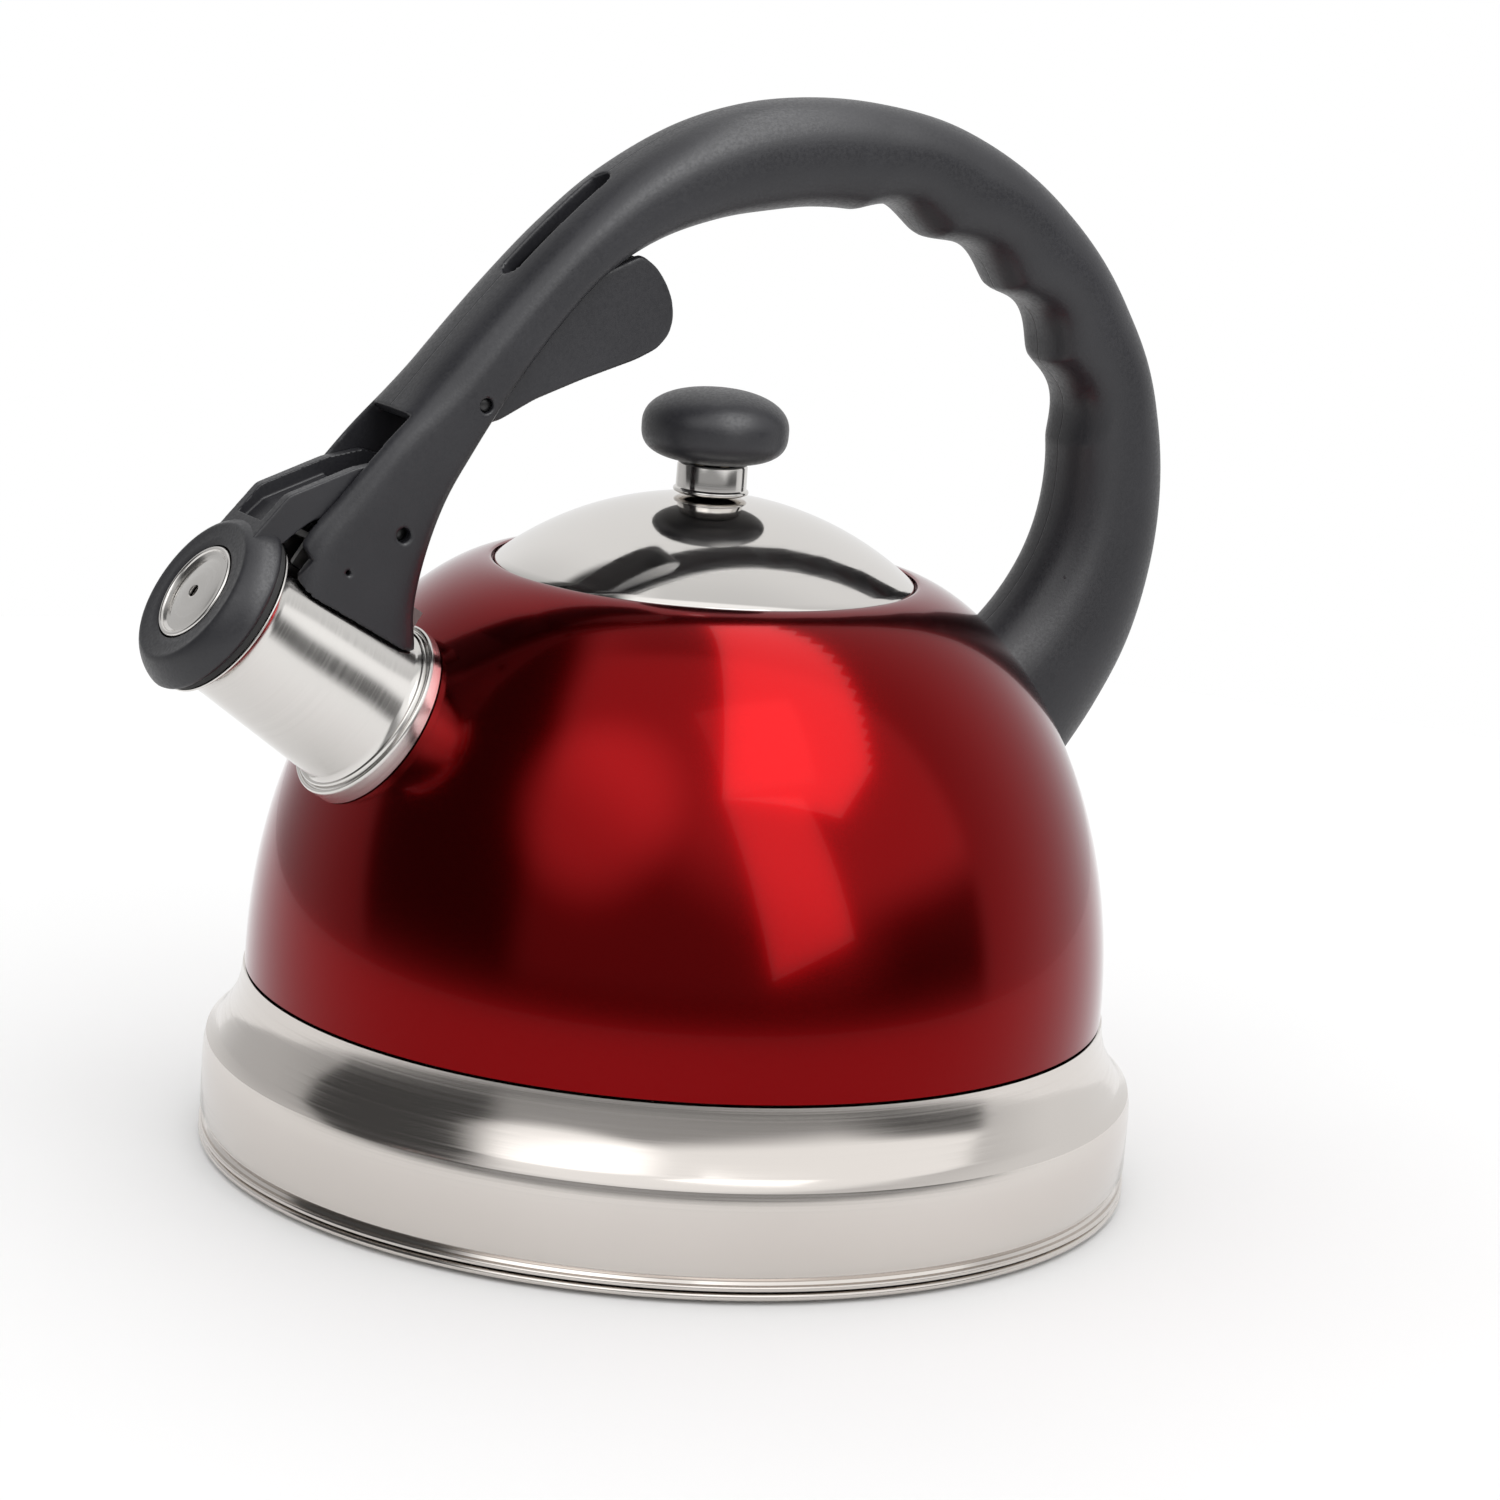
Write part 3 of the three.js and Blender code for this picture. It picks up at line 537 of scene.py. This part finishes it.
def handle_channel():
    """Room for the trigger and the cap lever between the two cheeks."""
    end = 52.6
    web = 27
    return prism("channel", [
        (-86, 179.5), (-79.2, 172.4), (-67.4, 186.2), (-55.4, 199.5), (-43.2, 211.6),
        *arc(TRIGGER_PIVOT, end, 54.6, 41, 8), (-20, 200), (-40, 183), (-58, 165), (-64, 150), (-75.6, 150),
        spout_point(12, web), spout_point(31.5, web), spout_point(31.5, 6), spout_point(48, 6), (-125, 150),
        (-105, 172),
    ], -CHANNEL_HALF, CHANNEL_HALF)


def handle_slot():
    """Long opening with round ends through the top of the handle, over the trigger's rib."""
    start, end = Vector((-53.2, 205.8)), Vector((-34.5, 223.4))
    run = end - start
    tilt = math.atan2(run.y, run.x)
    turn = Matrix.Translation((start.x * MM, 0, start.y * MM)) @ Matrix.Rotation(-tilt, 4, "Y")
    outline = arc((0, 0), 3.4, 90, 270, 16) + arc((run.length, 0), 3.4, -90, 90, 16)
    bm = bmesh.new()
    under = [bm.verts.new((x * MM, y * MM, -8 * MM)) for x, y in outline]
    over = [bm.verts.new((x * MM, y * MM, 8 * MM)) for x, y in outline]
    bm.faces.new(under[::-1])
    bm.faces.new(over)
    for i in range(len(outline)):
        bm.faces.new((under[i - 1], under[i], over[i], over[i - 1]))
    return add_object("slot", bm, turn)


# ---- frame of the handle's rear foot: +Z out of the dome, +X down along it ----
foot_out = Vector((0.858, 0, 0.514))
foot_down = Vector((foot_out.z, 0, -foot_out.x))
FOOT = Matrix.Translation(Vector((83.1, 0, 106)) * MM)
FOOT = FOOT @ Matrix((foot_down, foot_out.cross(foot_down), foot_out)).transposed().to_4x4()
POST_HALF, POST_THICK, POST_TOP, SCREW_OUT = 6, 2, 15, 9
SCREW_R = 2
FOOT_PIN = spout_point(28.4, 21)
FOOT_PIN_R = 0.55


def foot_bar(name, radius, start, end):
    turn = FOOT @ Matrix.Translation((0, 0, SCREW_OUT * MM)) @ Matrix.Rotation(math.pi / 2, 4, "Y")
    return disc(name, radius, start, end, 48, turn)


def handle():
    grip = handle_blank()
    notch = [(-116, 148.5), (-105.2, 147.1), (-102.9, 143.6), (-107.5, 137.7), (-116, 139)]
    pocket_x, pocket_y = POST_THICK + 0.4, POST_HALF + 0.4
    combine(grip, [
        handle_channel(), handle_slot(),
        prism("notch", notch, -20, 20),
        spout_room("room", 0.5), dome_solid("room", 0.4),
        box("pad", (-9.4, 9.4), (-8.4, 8.4), (-9, 2.2), FOOT),
        box("pocket", (-pocket_x, pocket_x), (-pocket_y, pocket_y), (-9, POST_TOP + 0.4), FOOT),
        box("tongue", (0, 24.4), (-5.4, 5.4), (3, 60), SPOUT),
        cross_bar("hole", TRIGGER_PIVOT, PIN_R + PIN_PLAY, 20),
        cross_bar("hole", LEVER_PIVOT, PIN_R + PIN_PLAY, 20),
        cross_bar("hole", FOOT_PIN, FOOT_PIN_R + PIN_PLAY, 20, 24),
        foot_bar("hole", SCREW_R + GAP, -9.3, 30),
        foot_bar("hole", 4.4, 14.7, 40),
    ])
    return moulded(grip, 0.45, 2, 0.4)


# ---- trigger and cap lever ----
pivot_line = math.degrees(math.atan2(LEVER_PIVOT[1] - TRIGGER_PIVOT[1], LEVER_PIVOT[0] - TRIGGER_PIVOT[0]))
PEG = polar(TRIGGER_PIVOT, NOSE_LENGTH, pivot_line - TRIGGER_TRAVEL / 2)


def trigger():
    half = TRIGGER_HALF
    blade = prism("thumb_trigger", eased([
        *arc(TRIGGER_PIVOT, 5, 190, 110, 6), (-60, 182.2), (-43.6, 199.6), (-36.2, 205.2), (-26.8, 209.2),
        (-22.6, 206.4), (-20, 203), (-18.2, 199.3), (-17.6, 195.2), (-18.4, 191.6), (-21.2, 188.4),
        (-26.2, 186), (-39.8, 181.4), (-50.7, 177.2), (-59.2, 172.6), *arc(TRIGGER_PIVOT, 5, 270, 230, 3),
    ], 1.6), -half, half)
    soft = blade.modifiers.new("soft", "BEVEL")
    soft.width = 0.9 * MM
    soft.segments = 4
    soft.limit_method = "ANGLE"
    soft.angle_limit = math.radians(50)
    settle(blade)
    hollow = prism("hollow", [
        (-55.5, 180.5), (-51.2, 179.6), (-40.2, 183.9), (-27.2, 188.4), (-22.7, 190.6), (-20.5, 192.9),
        (-20, 195.6), (-20.6, 198.9), (-22.2, 202), (-24.8, 205), (-26, 214), (-52, 214),
    ], 2 - half, half - 2)
    rib = prism("rib", [
        (-57, 180), (-51, 178), (-40, 182.6), (-27, 187.2), (-21.8, 190.6), (-22, 199), (-29, 205.4),
        (-37, 203.6), (-44.3, 198), (-57, 184.5),
    ], -0.9, 0.9)
    arm_half = 2.8
    reach = (Vector(PEG) - Vector(TRIGGER_PIVOT)) / NOSE_LENGTH
    square = Vector((-reach.y, reach.x))
    corners = [
        tuple(Vector(at) + square * side)
        for at, side in ((TRIGGER_PIVOT, 4), (PEG, arm_half), (PEG, -arm_half), (TRIGGER_PIVOT, -4))
    ]
    combine(blade, [hollow])
    combine(blade, [
        rib, prism("arm", corners, -NOSE_HALF, NOSE_HALF), cross_bar("nose", PEG, arm_half, NOSE_HALF),
        cross_bar("peg", PEG, PEG_R, LEVER_HALF - 0.2),
    ], "UNION")
    combine(blade, [cross_bar("hole", TRIGGER_PIVOT, PIN_R + PIN_PLAY, 20)])
    return moulded(blade, 0.4, 2, 0.5)


def peg_slot():
    """Slot in each flank of the lever, open at the top, in which the trigger's peg runs."""
    way = Vector(PEG) - Vector(LEVER_PIVOT)
    reach = way.length
    way = way / reach
    square = Vector((-way.y, way.x))
    width = PEG_R + GAP
    floor = reach - 0.55

    def at(along, across):
        return tuple(Vector(LEVER_PIVOT) + way * along + square * across)

    walls = prism("slot", [at(floor, -width), at(20, -width), at(20, width), at(floor, width)], -12, 12)
    return combine(walls, [cross_bar("end", at(floor, 0), width, 12)], "UNION")


def cap_arm():
    outline = eased([
        (-116.4, 147.4), (-107.8, 156.9), (-92.8, 162.6), (-84, 164.3), (-77.6, 162.6), (-75.6, 159.6),
        (-77.8, 152),
    ], 0.8, closed=False)
    outline += arc(LEVER_PIVOT, 4.8, 0, -120, 12)
    outline += eased([
        (-87.6, 146.8), (-90, 149.4), (-93.2, 151.6), (-97, 152.4), (-101.5, 151.8), (-105, 149.6),
        (-109, 146.4), (-112, 145),
    ], 1.5, closed=False)
    arm = prism("cap_arm", outline, -LEVER_HALF, LEVER_HALF)
    trough = prism("trough", [
        (-113.6, 153.6), (-111.9, 149.4), (-107, 153.7), (-93.2, 158.9), (-91, 155.8), (-91, 146),
        (-70, 140), (-70, 170), (-105, 170),
    ], -FLANK_HALF, FLANK_HALF)
    combine(arm, [
        trough, disc("room", 18.6, 30, 47, place=SPOUT), disc("room", WHISTLE_R + 2, 30, 60, place=SPOUT),
        disc("room", LIP_R + GAP, 20, 44.2, place=SPOUT), peg_slot(),
        cross_bar("hole", LEVER_PIVOT, PIN_R + PIN_PLAY, 20),
    ])
    return moulded(arm, 0.24, 1, 0.4)


# ---- pins ----
def pin(name, node, centre, radius):
    return cross_bar(name, centre, radius, high(node).y, ease=0.25)


# ---- material nodes ----
def new_material(name, color, metallic, roughness, **sockets):
    """A Principled material and its shader. Values that are the same all over go on its sockets."""
    made = bpy.data.materials.new(name)
    made.use_nodes = True
    shader = made.node_tree.nodes["Principled BSDF"]
    shader.inputs["Base Color"].default_value = (*color, 1)
    shader.inputs["Metallic"].default_value = metallic
    shader.inputs["Roughness"].default_value = roughness
    for socket, value in sockets.items():
        shader.inputs[socket.replace("_", " ")].default_value = value
    return made, shader


def add_node(shader, kind, **inputs):
    node = shader.id_data.nodes.new(kind)
    for socket, value in inputs.items():
        node.inputs[socket.replace("_", " ")].default_value = value
    return node


def wire(shader, out, into):
    shader.id_data.links.new(out, into)


def object_place(shader, scale=(1, 1, 1), turn=(0, 0, 0)):
    """The place on the piece, turned and stretched for a pattern."""
    mapping = add_node(shader, "ShaderNodeMapping", Scale=scale, Rotation=turn)
    wire(shader, add_node(shader, "ShaderNodeTexCoord").outputs["Object"], mapping.inputs["Vector"])
    return mapping.outputs["Vector"]


def noise(shader, scale, detail=2.0, stretch=(1, 1, 1), turn=(0, 0, 0), vector=None):
    texture = add_node(shader, "ShaderNodeTexNoise", Scale=scale, Detail=detail)
    wire(shader, vector or object_place(shader, stretch, turn), texture.inputs["Vector"])
    return texture.outputs["Fac"]


def tint(shader, value, *stops):
    """Colours a 0 to 1 pattern and gives it to the shader's base colour."""
    ramp = add_node(shader, "ShaderNodeValToRGB")
    while len(ramp.color_ramp.elements) < len(stops):
        ramp.color_ramp.elements.new(0.5)
    for element, (position, color) in zip(ramp.color_ramp.elements, stops):
        element.position = position
        element.color = (*color, 1)
    wire(shader, value, ramp.inputs["Fac"])
    wire(shader, ramp.outputs["Color"], shader.inputs["Base Color"])


def spread(shader, value, low_end, high_end, start=0.35, stop=0.65):
    """Maps the middle of a noise pattern to a range of values."""
    span = add_node(shader, "ShaderNodeMapRange")
    span.inputs["From Min"].default_value = start
    span.inputs["From Max"].default_value = stop
    span.inputs["To Min"].default_value = low_end
    span.inputs["To Max"].default_value = high_end
    wire(shader, value, span.inputs["Value"])
    return span.outputs["Result"]


def roughen(shader, value, low_end, high_end):
    wire(shader, spread(shader, value, low_end, high_end), shader.inputs["Roughness"])


def bump(shader, *layers, coat=False):
    """Stacks bump layers of (height, strength, distance in millimetres) on the shader's normal."""
    before = None
    for height, strength, distance in layers:
        node = add_node(shader, "ShaderNodeBump", Strength=strength, Distance=distance * MM)
        wire(shader, height, node.inputs["Height"])
        if before:
            wire(shader, before, node.inputs["Normal"])
        before = node.outputs["Normal"]
    wire(shader, before, shader.inputs["Coat Normal" if coat else "Normal"])


def along_axis(shader, axis, scale):
    """Distance along a direction, for marks that run round it."""
    dot = shader.id_data.nodes.new("ShaderNodeVectorMath")
    dot.operation = "DOT_PRODUCT"
    dot.inputs[1].default_value = tuple(component * scale for component in axis)
    wire(shader, add_node(shader, "ShaderNodeTexCoord").outputs["Object"], dot.inputs[0])
    return dot.outputs["Value"]


def turned_marks(shader, axis, scale):
    """Fine lines that run round an axis, a little broken up along the way."""
    join = shader.id_data.nodes.new("ShaderNodeCombineXYZ")
    wire(shader, along_axis(shader, axis, scale), join.inputs["X"])
    drift = noise(shader, 18, 1)
    wire(shader, drift, join.inputs["Y"])
    return noise(shader, 1, 3, vector=join.outputs["Vector"])


def candy_red():
    """Clear red lacquer over bright steel, under a thin gloss."""
    made, shader = new_material(
        "candy_red", (0.2, 0.0016, 0.0026), 1, 0.18, Coat_Weight=1, Coat_Roughness=0.04, Coat_IOR=1.13,
        Specular_Tint=(0.8, 0.74, 0.76, 1),
    )
    cloud = noise(shader, 9, 2)
    tint(shader, cloud, (0.3, (0.19, 0.0014, 0.0024)), (0.7, (0.212, 0.0018, 0.0029)))
    flake = noise(shader, 3000, 1)
    roughen(shader, flake, 0.15, 0.19)
    bump(shader, (noise(shader, 240, 1), 0.02, 0.04), coat=True)
    return made


def mirror_steel():
    made, shader = new_material("mirror_steel", (0.74, 0.715, 0.69), 1, 0.06)
    tint(shader, noise(shader, 14, 2), (0.3, (0.71, 0.685, 0.66)), (0.7, (0.77, 0.745, 0.715)))
    marks = turned_marks(shader, (0, 0, 1), 2400)
    roughen(shader, marks, 0.05, 0.1)
    bump(shader, (noise(shader, 30, 1), 0.12, 0.12), (marks, 0.02, 0.01))
    return made


def skirt_steel():
    """Polished band with fine marks round it and the slight waves of spun sheet."""
    made, shader = new_material("skirt_steel", (0.66, 0.62, 0.585), 1, 0.12)
    tint(shader, noise(shader, 11, 2), (0.3, (0.635, 0.595, 0.56)), (0.7, (0.69, 0.65, 0.615)))
    marks = turned_marks(shader, (0, 0, 1), 3000)
    roughen(shader, marks, 0.1, 0.19)
    wave = noise(shader, 26, 2, stretch=(1, 1, 0.6))
    bump(shader, (wave, 0.25, 0.3), (marks, 0.06, 0.012))
    return made


def satin_steel(name, axis, shine=0.22, relief=0.03):
    """Steel with fine turned marks that run round an axis."""
    made, shader = new_material(name, (0.72, 0.7, 0.67), 1, shine)
    marks = turned_marks(shader, axis, 5200)
    tint(shader, marks, (0.3, (0.69, 0.67, 0.645)), (0.7, (0.735, 0.715, 0.69)))
    roughen(shader, marks, shine - 0.04, shine + 0.04)
    bump(shader, (noise(shader, 45, 1), 0.1, 0.1), (marks, relief, 0.006))
    return made


def hardware_steel(name, color, shine=0.3):
    made, shader = new_material(name, color, 1, shine)
    grain = noise(shader, 420, 3)
    tint(shader, grain, (0.3, tuple(c * 0.88 for c in color)), (0.7, color))
    roughen(shader, grain, shine - 0.05, shine + 0.1)
    bump(shader, (grain, 0.15, 0.02))
    return made


def black_plastic(name, parting_line):
    """Charcoal moulded plastic with a fine grain, and where asked a parting line down the middle plane."""
    made, shader = new_material(name, (0.014, 0.014, 0.017), 0, 0.42, Specular_IOR_Level=0.5)
    cloud = noise(shader, 35, 3)
    tint(shader, cloud, (0.3, (0.0105, 0.0105, 0.0128)), (0.7, (0.016, 0.016, 0.019)))
    grain = noise(shader, 1500, 2)
    roughen(shader, grain, 0.34, 0.48)
    layers = [(noise(shader, 420, 2), 0.25, 0.06), (grain, 0.7, 0.04)]
    if parting_line:
        middle = shader.id_data.nodes.new("ShaderNodeMath")
        middle.operation = "ABSOLUTE"
        wire(shader, along_axis(shader, (0, 1, 0), 1), middle.inputs[0])
        seam = spread(shader, middle.outputs["Value"], 0, 1, 0.05 * MM, 0.25 * MM)
        layers.insert(0, (seam, 0.6, 0.12))
    bump(shader, *layers)
    return made


def black_rubber():
    made, shader = new_material("black_rubber", (0.012, 0.012, 0.012), 0, 0.7)
    grain = noise(shader, 700, 3)
    tint(shader, grain, (0.3, (0.009, 0.009, 0.009)), (0.7, (0.017, 0.017, 0.017)))
    roughen(shader, grain, 0.6, 0.8)
    bump(shader, (grain, 0.2, 0.03))
    return made


# ---- stage, light and camera ----
VIEW_AZIMUTH = math.radians(-31.09)
VIEW_ELEVATION = math.radians(12.28)
VIEW_ROLL = math.radians(4.49)
VIEW_DISTANCE = 1.0458
AIM = Vector((0.0218, 0.0102, 0.0919))
SOFT_LIGHT = 1.22
PANEL_LIGHT = 3.3
PANEL_ABOVE = 0.8                   # metres over the panel's foot; the strips' sizes are multiples of it
PANEL_FOOT_Z = 0.13
PANEL_TURN = math.radians(8.8)
PANEL_STRIPS = 24
PANEL_REACH = 2.05
PANEL_BROAD = 1.0
WALL_LEAN = math.radians(17)
WALL_WIDTH = 0.62
WALL_SHARE = 0.62                   # of the strips' brightness
FLOOR_R = 620
ahead = Vector((-math.sin(VIEW_AZIMUTH), math.cos(VIEW_AZIMUTH), 0))
beside = Vector((math.cos(VIEW_AZIMUTH), math.sin(VIEW_AZIMUTH), 0))
up = Vector((0, 0, 1))


def make_camera():
    forward = ahead * math.cos(VIEW_ELEVATION) - Vector((0, 0, math.sin(VIEW_ELEVATION)))
    right = beside * math.cos(VIEW_ROLL) + beside.cross(forward) * math.sin(VIEW_ROLL)
    data = bpy.data.cameras.new("camera")
    data.lens = 108
    data.sensor_width = 36
    camera = bpy.data.objects.new("camera", data)
    turn = Matrix((right, right.cross(forward), -forward)).transposed().to_4x4()
    camera.matrix_world = Matrix.Translation(AIM - forward * VIEW_DISTANCE) @ turn
    bpy.context.scene.collection.objects.link(camera)
    bpy.context.scene.camera = camera


def area_light(name, centre, across, along, size, radiance, receivers=None):
    """A rectangular light with its sides along two directions. It can be kept to some of the pieces."""
    data = bpy.data.lights.new(name, "AREA")
    data.shape = "RECTANGLE"
    data.size, data.size_y = size
    data.energy = radiance * math.pi * size[0] * size[1]
    light = bpy.data.objects.new(name, data)
    turn = Matrix((across, along, across.cross(along))).transposed().to_4x4()
    light.matrix_world = Matrix.Translation(centre) @ turn
    bpy.context.scene.collection.objects.link(light)
    if receivers:
        light.light_linking.receiver_collection = receivers


def softbox(name, side, elevation, distance, width, height, radiance):
    """A light that faces the kettle: side is degrees to the right of the camera."""
    angle, rise = math.radians(side), math.radians(elevation)
    level = -ahead * math.cos(angle) + beside * math.sin(angle)
    out = level * math.cos(rise) + up * math.sin(rise)
    across = up.cross(out).normalized()
    area_light(name, up * 0.1 + out * distance, across, out.cross(across), (width, height), radiance)


def bright_panel(pieces):
    """A bright panel for some of the pieces: strips overhead that narrow towards the back, and a wall."""
    receivers = bpy.data.collections.new("panel_receivers")
    for piece in pieces:
        receivers.objects.link(piece)
    along = ahead * math.cos(PANEL_TURN) - beside * math.sin(PANEL_TURN)
    across = beside * math.cos(PANEL_TURN) + ahead * math.sin(PANEL_TURN)
    corner = up * (PANEL_FOOT_Z + PANEL_ABOVE) + (beside * 0.26 - ahead * 1.2) * PANEL_ABOVE
    strip = PANEL_REACH / PANEL_STRIPS
    for i in range(PANEL_STRIPS):
        middle = strip * (i + 0.5)
        width = min(1.4 - 0.71 * middle, PANEL_BROAD)
        centre = corner + (along * middle + across * width / 2) * PANEL_ABOVE
        size = (width * PANEL_ABOVE, strip * PANEL_ABOVE)
        area_light(f"panel_{i}", centre, across, along, size, PANEL_LIGHT, receivers)
    down = beside * math.sin(WALL_LEAN) - up * math.cos(WALL_LEAN)
    level = beside * math.cos(WALL_LEAN) + up * math.sin(WALL_LEAN)
    height = PANEL_ABOVE / math.cos(WALL_LEAN)
    centre = corner + level * WALL_WIDTH / 2 + down * height / 2
    size = (WALL_WIDTH, height)
    area_light("panel_wall", centre, level, -down, size, PANEL_LIGHT * WALL_SHARE, receivers)


def make_world():
    """A white room with a dark left side and a dark patch low on the right, which the glossy surfaces mirror.

    Soft even light reaches every diffuse surface, and past it all the view is plain white.
    """
    world = bpy.data.worlds.new("studio")
    world.use_nodes = True
    world.cycles.sampling_method = "NONE"
    bpy.context.scene.world = world
    tree = world.node_tree

    def add(kind, operation=None, **inputs):
        node = tree.nodes.new(kind)
        if operation:
            node.operation = operation
        for socket, value in inputs.items():
            node.inputs[socket.replace("_", " ")].default_value = value
        return node

    direction = add("ShaderNodeTexCoord").outputs["Generated"]

    def component(axis):
        dot = add("ShaderNodeVectorMath", "DOT_PRODUCT")
        dot.inputs[1].default_value = axis
        tree.links.new(direction, dot.inputs[0])
        return dot.outputs["Value"]

    def step(axis, start, end, low_end=0.0, high_end=1.0):
        """A smooth step from one value to another, as the direction's component on an axis grows."""
        node = add("ShaderNodeMapRange", From_Min=start, From_Max=end, To_Min=low_end, To_Max=high_end)
        node.interpolation_type = "SMOOTHSTEP"
        tree.links.new(component(axis), node.inputs["Value"])
        return node.outputs["Result"]

    def joined(operation, *values):
        node = add("ShaderNodeMath", operation)
        for value, socket in zip(values, node.inputs):
            if isinstance(value, float):
                socket.default_value = value
            else:
                tree.links.new(value, socket)
        return node.outputs["Value"]

    def mixed(factor, first, second):
        node = add("ShaderNodeMix")
        for out, socket in ((factor, "Factor"), (first, "A"), (second, "B")):
            tree.links.new(out, node.inputs[socket])
        return node.outputs["Result"]

    left_edge = step(beside - ahead * 0.36, -0.48, -0.32)
    lit = joined("MULTIPLY", left_edge, step(up + beside * 0.4, 0.3, 0.66, 0.3, 1.12))
    glow = step(-ahead * 0.696 - beside * 0.37 + up * 0.616, 0.9, 0.985, 0.0, 0.95)
    walls = joined("ADD", joined("ADD", lit, 0.07), glow)
    flag = joined("MULTIPLY", step(beside, 0.66, 0.92), step(up, 0.16, 0.34, 0.8, 0.0))
    walls = joined("MULTIPLY", walls, joined("SUBTRACT", 1.0, flag))
    around = mixed(step(up, -0.06, 0.06), step(up, -0.24, 0.0, 0.95, 0.14), walls)
    over = mixed(step(beside, -0.45, -0.15), step(ahead - up * 0.55, -0.05, 0.05), step(ahead, -0.05, 0.05))
    white = joined("MULTIPLY", step(beside, -0.75, -0.35, 0.58, 0.88), step(ahead, 0.0, 0.5, 0.82, 1.0))
    mirrored = mixed(over, around, white)

    lights = [add("ShaderNodeBackground", Strength=strength) for strength in (1.0, SOFT_LIGHT, 1.0)]
    for light in lights:
        light.inputs["Color"].default_value = (1, 1, 1, 1)
    tree.links.new(mirrored, lights[0].inputs["Strength"])
    ray = add("ShaderNodeLightPath")
    out = lights[0].outputs["Background"]
    for light, kind in ((lights[1], "Is Diffuse Ray"), (lights[2], "Is Camera Ray")):
        mix = add("ShaderNodeMixShader")
        tree.links.new(ray.outputs[kind], mix.inputs["Fac"])
        tree.links.new(out, mix.inputs[1])
        tree.links.new(light.outputs["Background"], mix.inputs[2])
        out = mix.outputs["Shader"]
    tree.links.new(out, tree.nodes["World Output"].inputs["Surface"])


def make_floor():
    floor = lathe("floor", [(0, -3), (FLOOR_R, -3), (FLOOR_R, -0.02), (0, -0.02)], 96)
    made, shader = new_material("pale_floor", (0.86, 0.86, 0.86), 0, 0.7)
    tint(shader, noise(shader, 3, 2), (0.3, (0.85, 0.85, 0.85)), (0.7, (0.87, 0.87, 0.87)))
    floor.data.materials.append(made)


make_camera()
make_world()
make_floor()
softbox("key", 30, 55, 1.6, 0.7, 0.7, 0.8)

scene = bpy.context.scene
scene.view_settings.view_transform = "Standard"

# ---- materials ----
grip_look = black_plastic("grip_plastic", True)
looks = {
    "red_paint": candy_red(),
    "polished_steel": mirror_steel(),
    "satin_steel": satin_steel("satin_steel", (0, 0, 1)),
    "plain_steel": hardware_steel("plain_steel", (0.3, 0.295, 0.29), 0.38),
    "spring_steel": hardware_steel("spring_steel", (0.42, 0.41, 0.4), 0.35),
    "aluminium_core": hardware_steel("aluminium_core", (0.7, 0.7, 0.71), 0.45),
    "black_plastic": black_plastic("black_plastic", False),
    "black_rubber": black_rubber(),
    "brass": hardware_steel("brass", (0.66, 0.5, 0.24), 0.35),
}

# ---- pieces: the body each rides on, the slot of its finish, and the CAD nodes it stands for ----
skirt_look = skirt_steel()
spout_look = satin_steel("spout_steel", spout_axis, 0.17, 0.012)
collar_look = satin_steel("collar_steel", (0, 0, 1), 0.13)
# pin steel painted near black: painted shade standing for the shade that falls deep inside the pin holes
shaded_pin_look = hardware_steel("pin_steel_painted_shade", (0.07, 0.07, 0.07), 0.35)
fine_pieces = [
    (body_shell(), "kettle", "red_paint", ["body_shell"], None),
    (base_skirt(), "kettle", "polished_steel", ["base_skirt"], skirt_look),
    (bottom_pan(), "kettle", "polished_steel", ["bottom_pan"], skirt_look),
    (base_cap(), "kettle", "satin_steel", ["base_cap"], None),
    (spout_tube(), "kettle", "satin_steel", ["spout_tube"], spout_look),
    (handle(), "kettle", "black_plastic", ["handle"], grip_look),
    (
        pin("trigger_axle", "trigger_pin", TRIGGER_PIVOT, PIN_R),
        "kettle", "plain_steel", ["trigger_pin"], shaded_pin_look,
    ),
    (
        pin("lever_axle", "lever_pin", LEVER_PIVOT, PIN_R),
        "kettle", "plain_steel", ["lever_pin"], shaded_pin_look,
    ),
    (
        pin("foot_axle", "foot_pin", FOOT_PIN, FOOT_PIN_R),
        "kettle", "plain_steel", ["foot_pin"], shaded_pin_look,
    ),
    (trigger(), "trigger", "black_plastic", ["trigger"], grip_look),
    (cap_ring(), "cap", "black_plastic", ["cap_lever"], None),
    (cap_arm(), "cap", "black_plastic", ["cap_lever"], None),
    (cap_gasket(), "cap", "black_rubber", ["cap_gasket"], None),
    (whistle_cup(), "cap", "polished_steel", ["whistle_cup"], spout_look),
    (whistle_back_plate(), "cap", "satin_steel", ["whistle_back_plate"], spout_look),
    (lid_shell(), "lid", "polished_steel", ["lid_shell"], None),
    (lid_plug_ring(), "lid", "satin_steel", ["lid_plug_ring"], None),
    (knob_collar(), "lid", "polished_steel", ["knob_collar"], collar_look),
    (knob(), "lid", "black_plastic", ["knob"], None),
]
for piece, body, slot, nodes, look in fine_pieces:
    piece.data.materials.clear()
    piece.data.materials.append(look or looks[slot])
    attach(piece, body)
    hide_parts(*nodes)

panel_slots = ("red_paint", "black_plastic", "black_rubber")
bright_panel([piece for piece, _, slot, _, _ in fine_pieces if slot in panel_slots])

slots = {part["node"]: part["material_slot"] for part in frame["record"]["subparts"]}
replaced = {node for _, _, _, nodes, _ in fine_pieces for node in nodes}
for node in sorted(set(slots) - replaced):
    obj = frame["nodes"][node]
    for index in range(len(obj.material_slots)):
        obj.material_slots[index].material = looks[slots[node]]
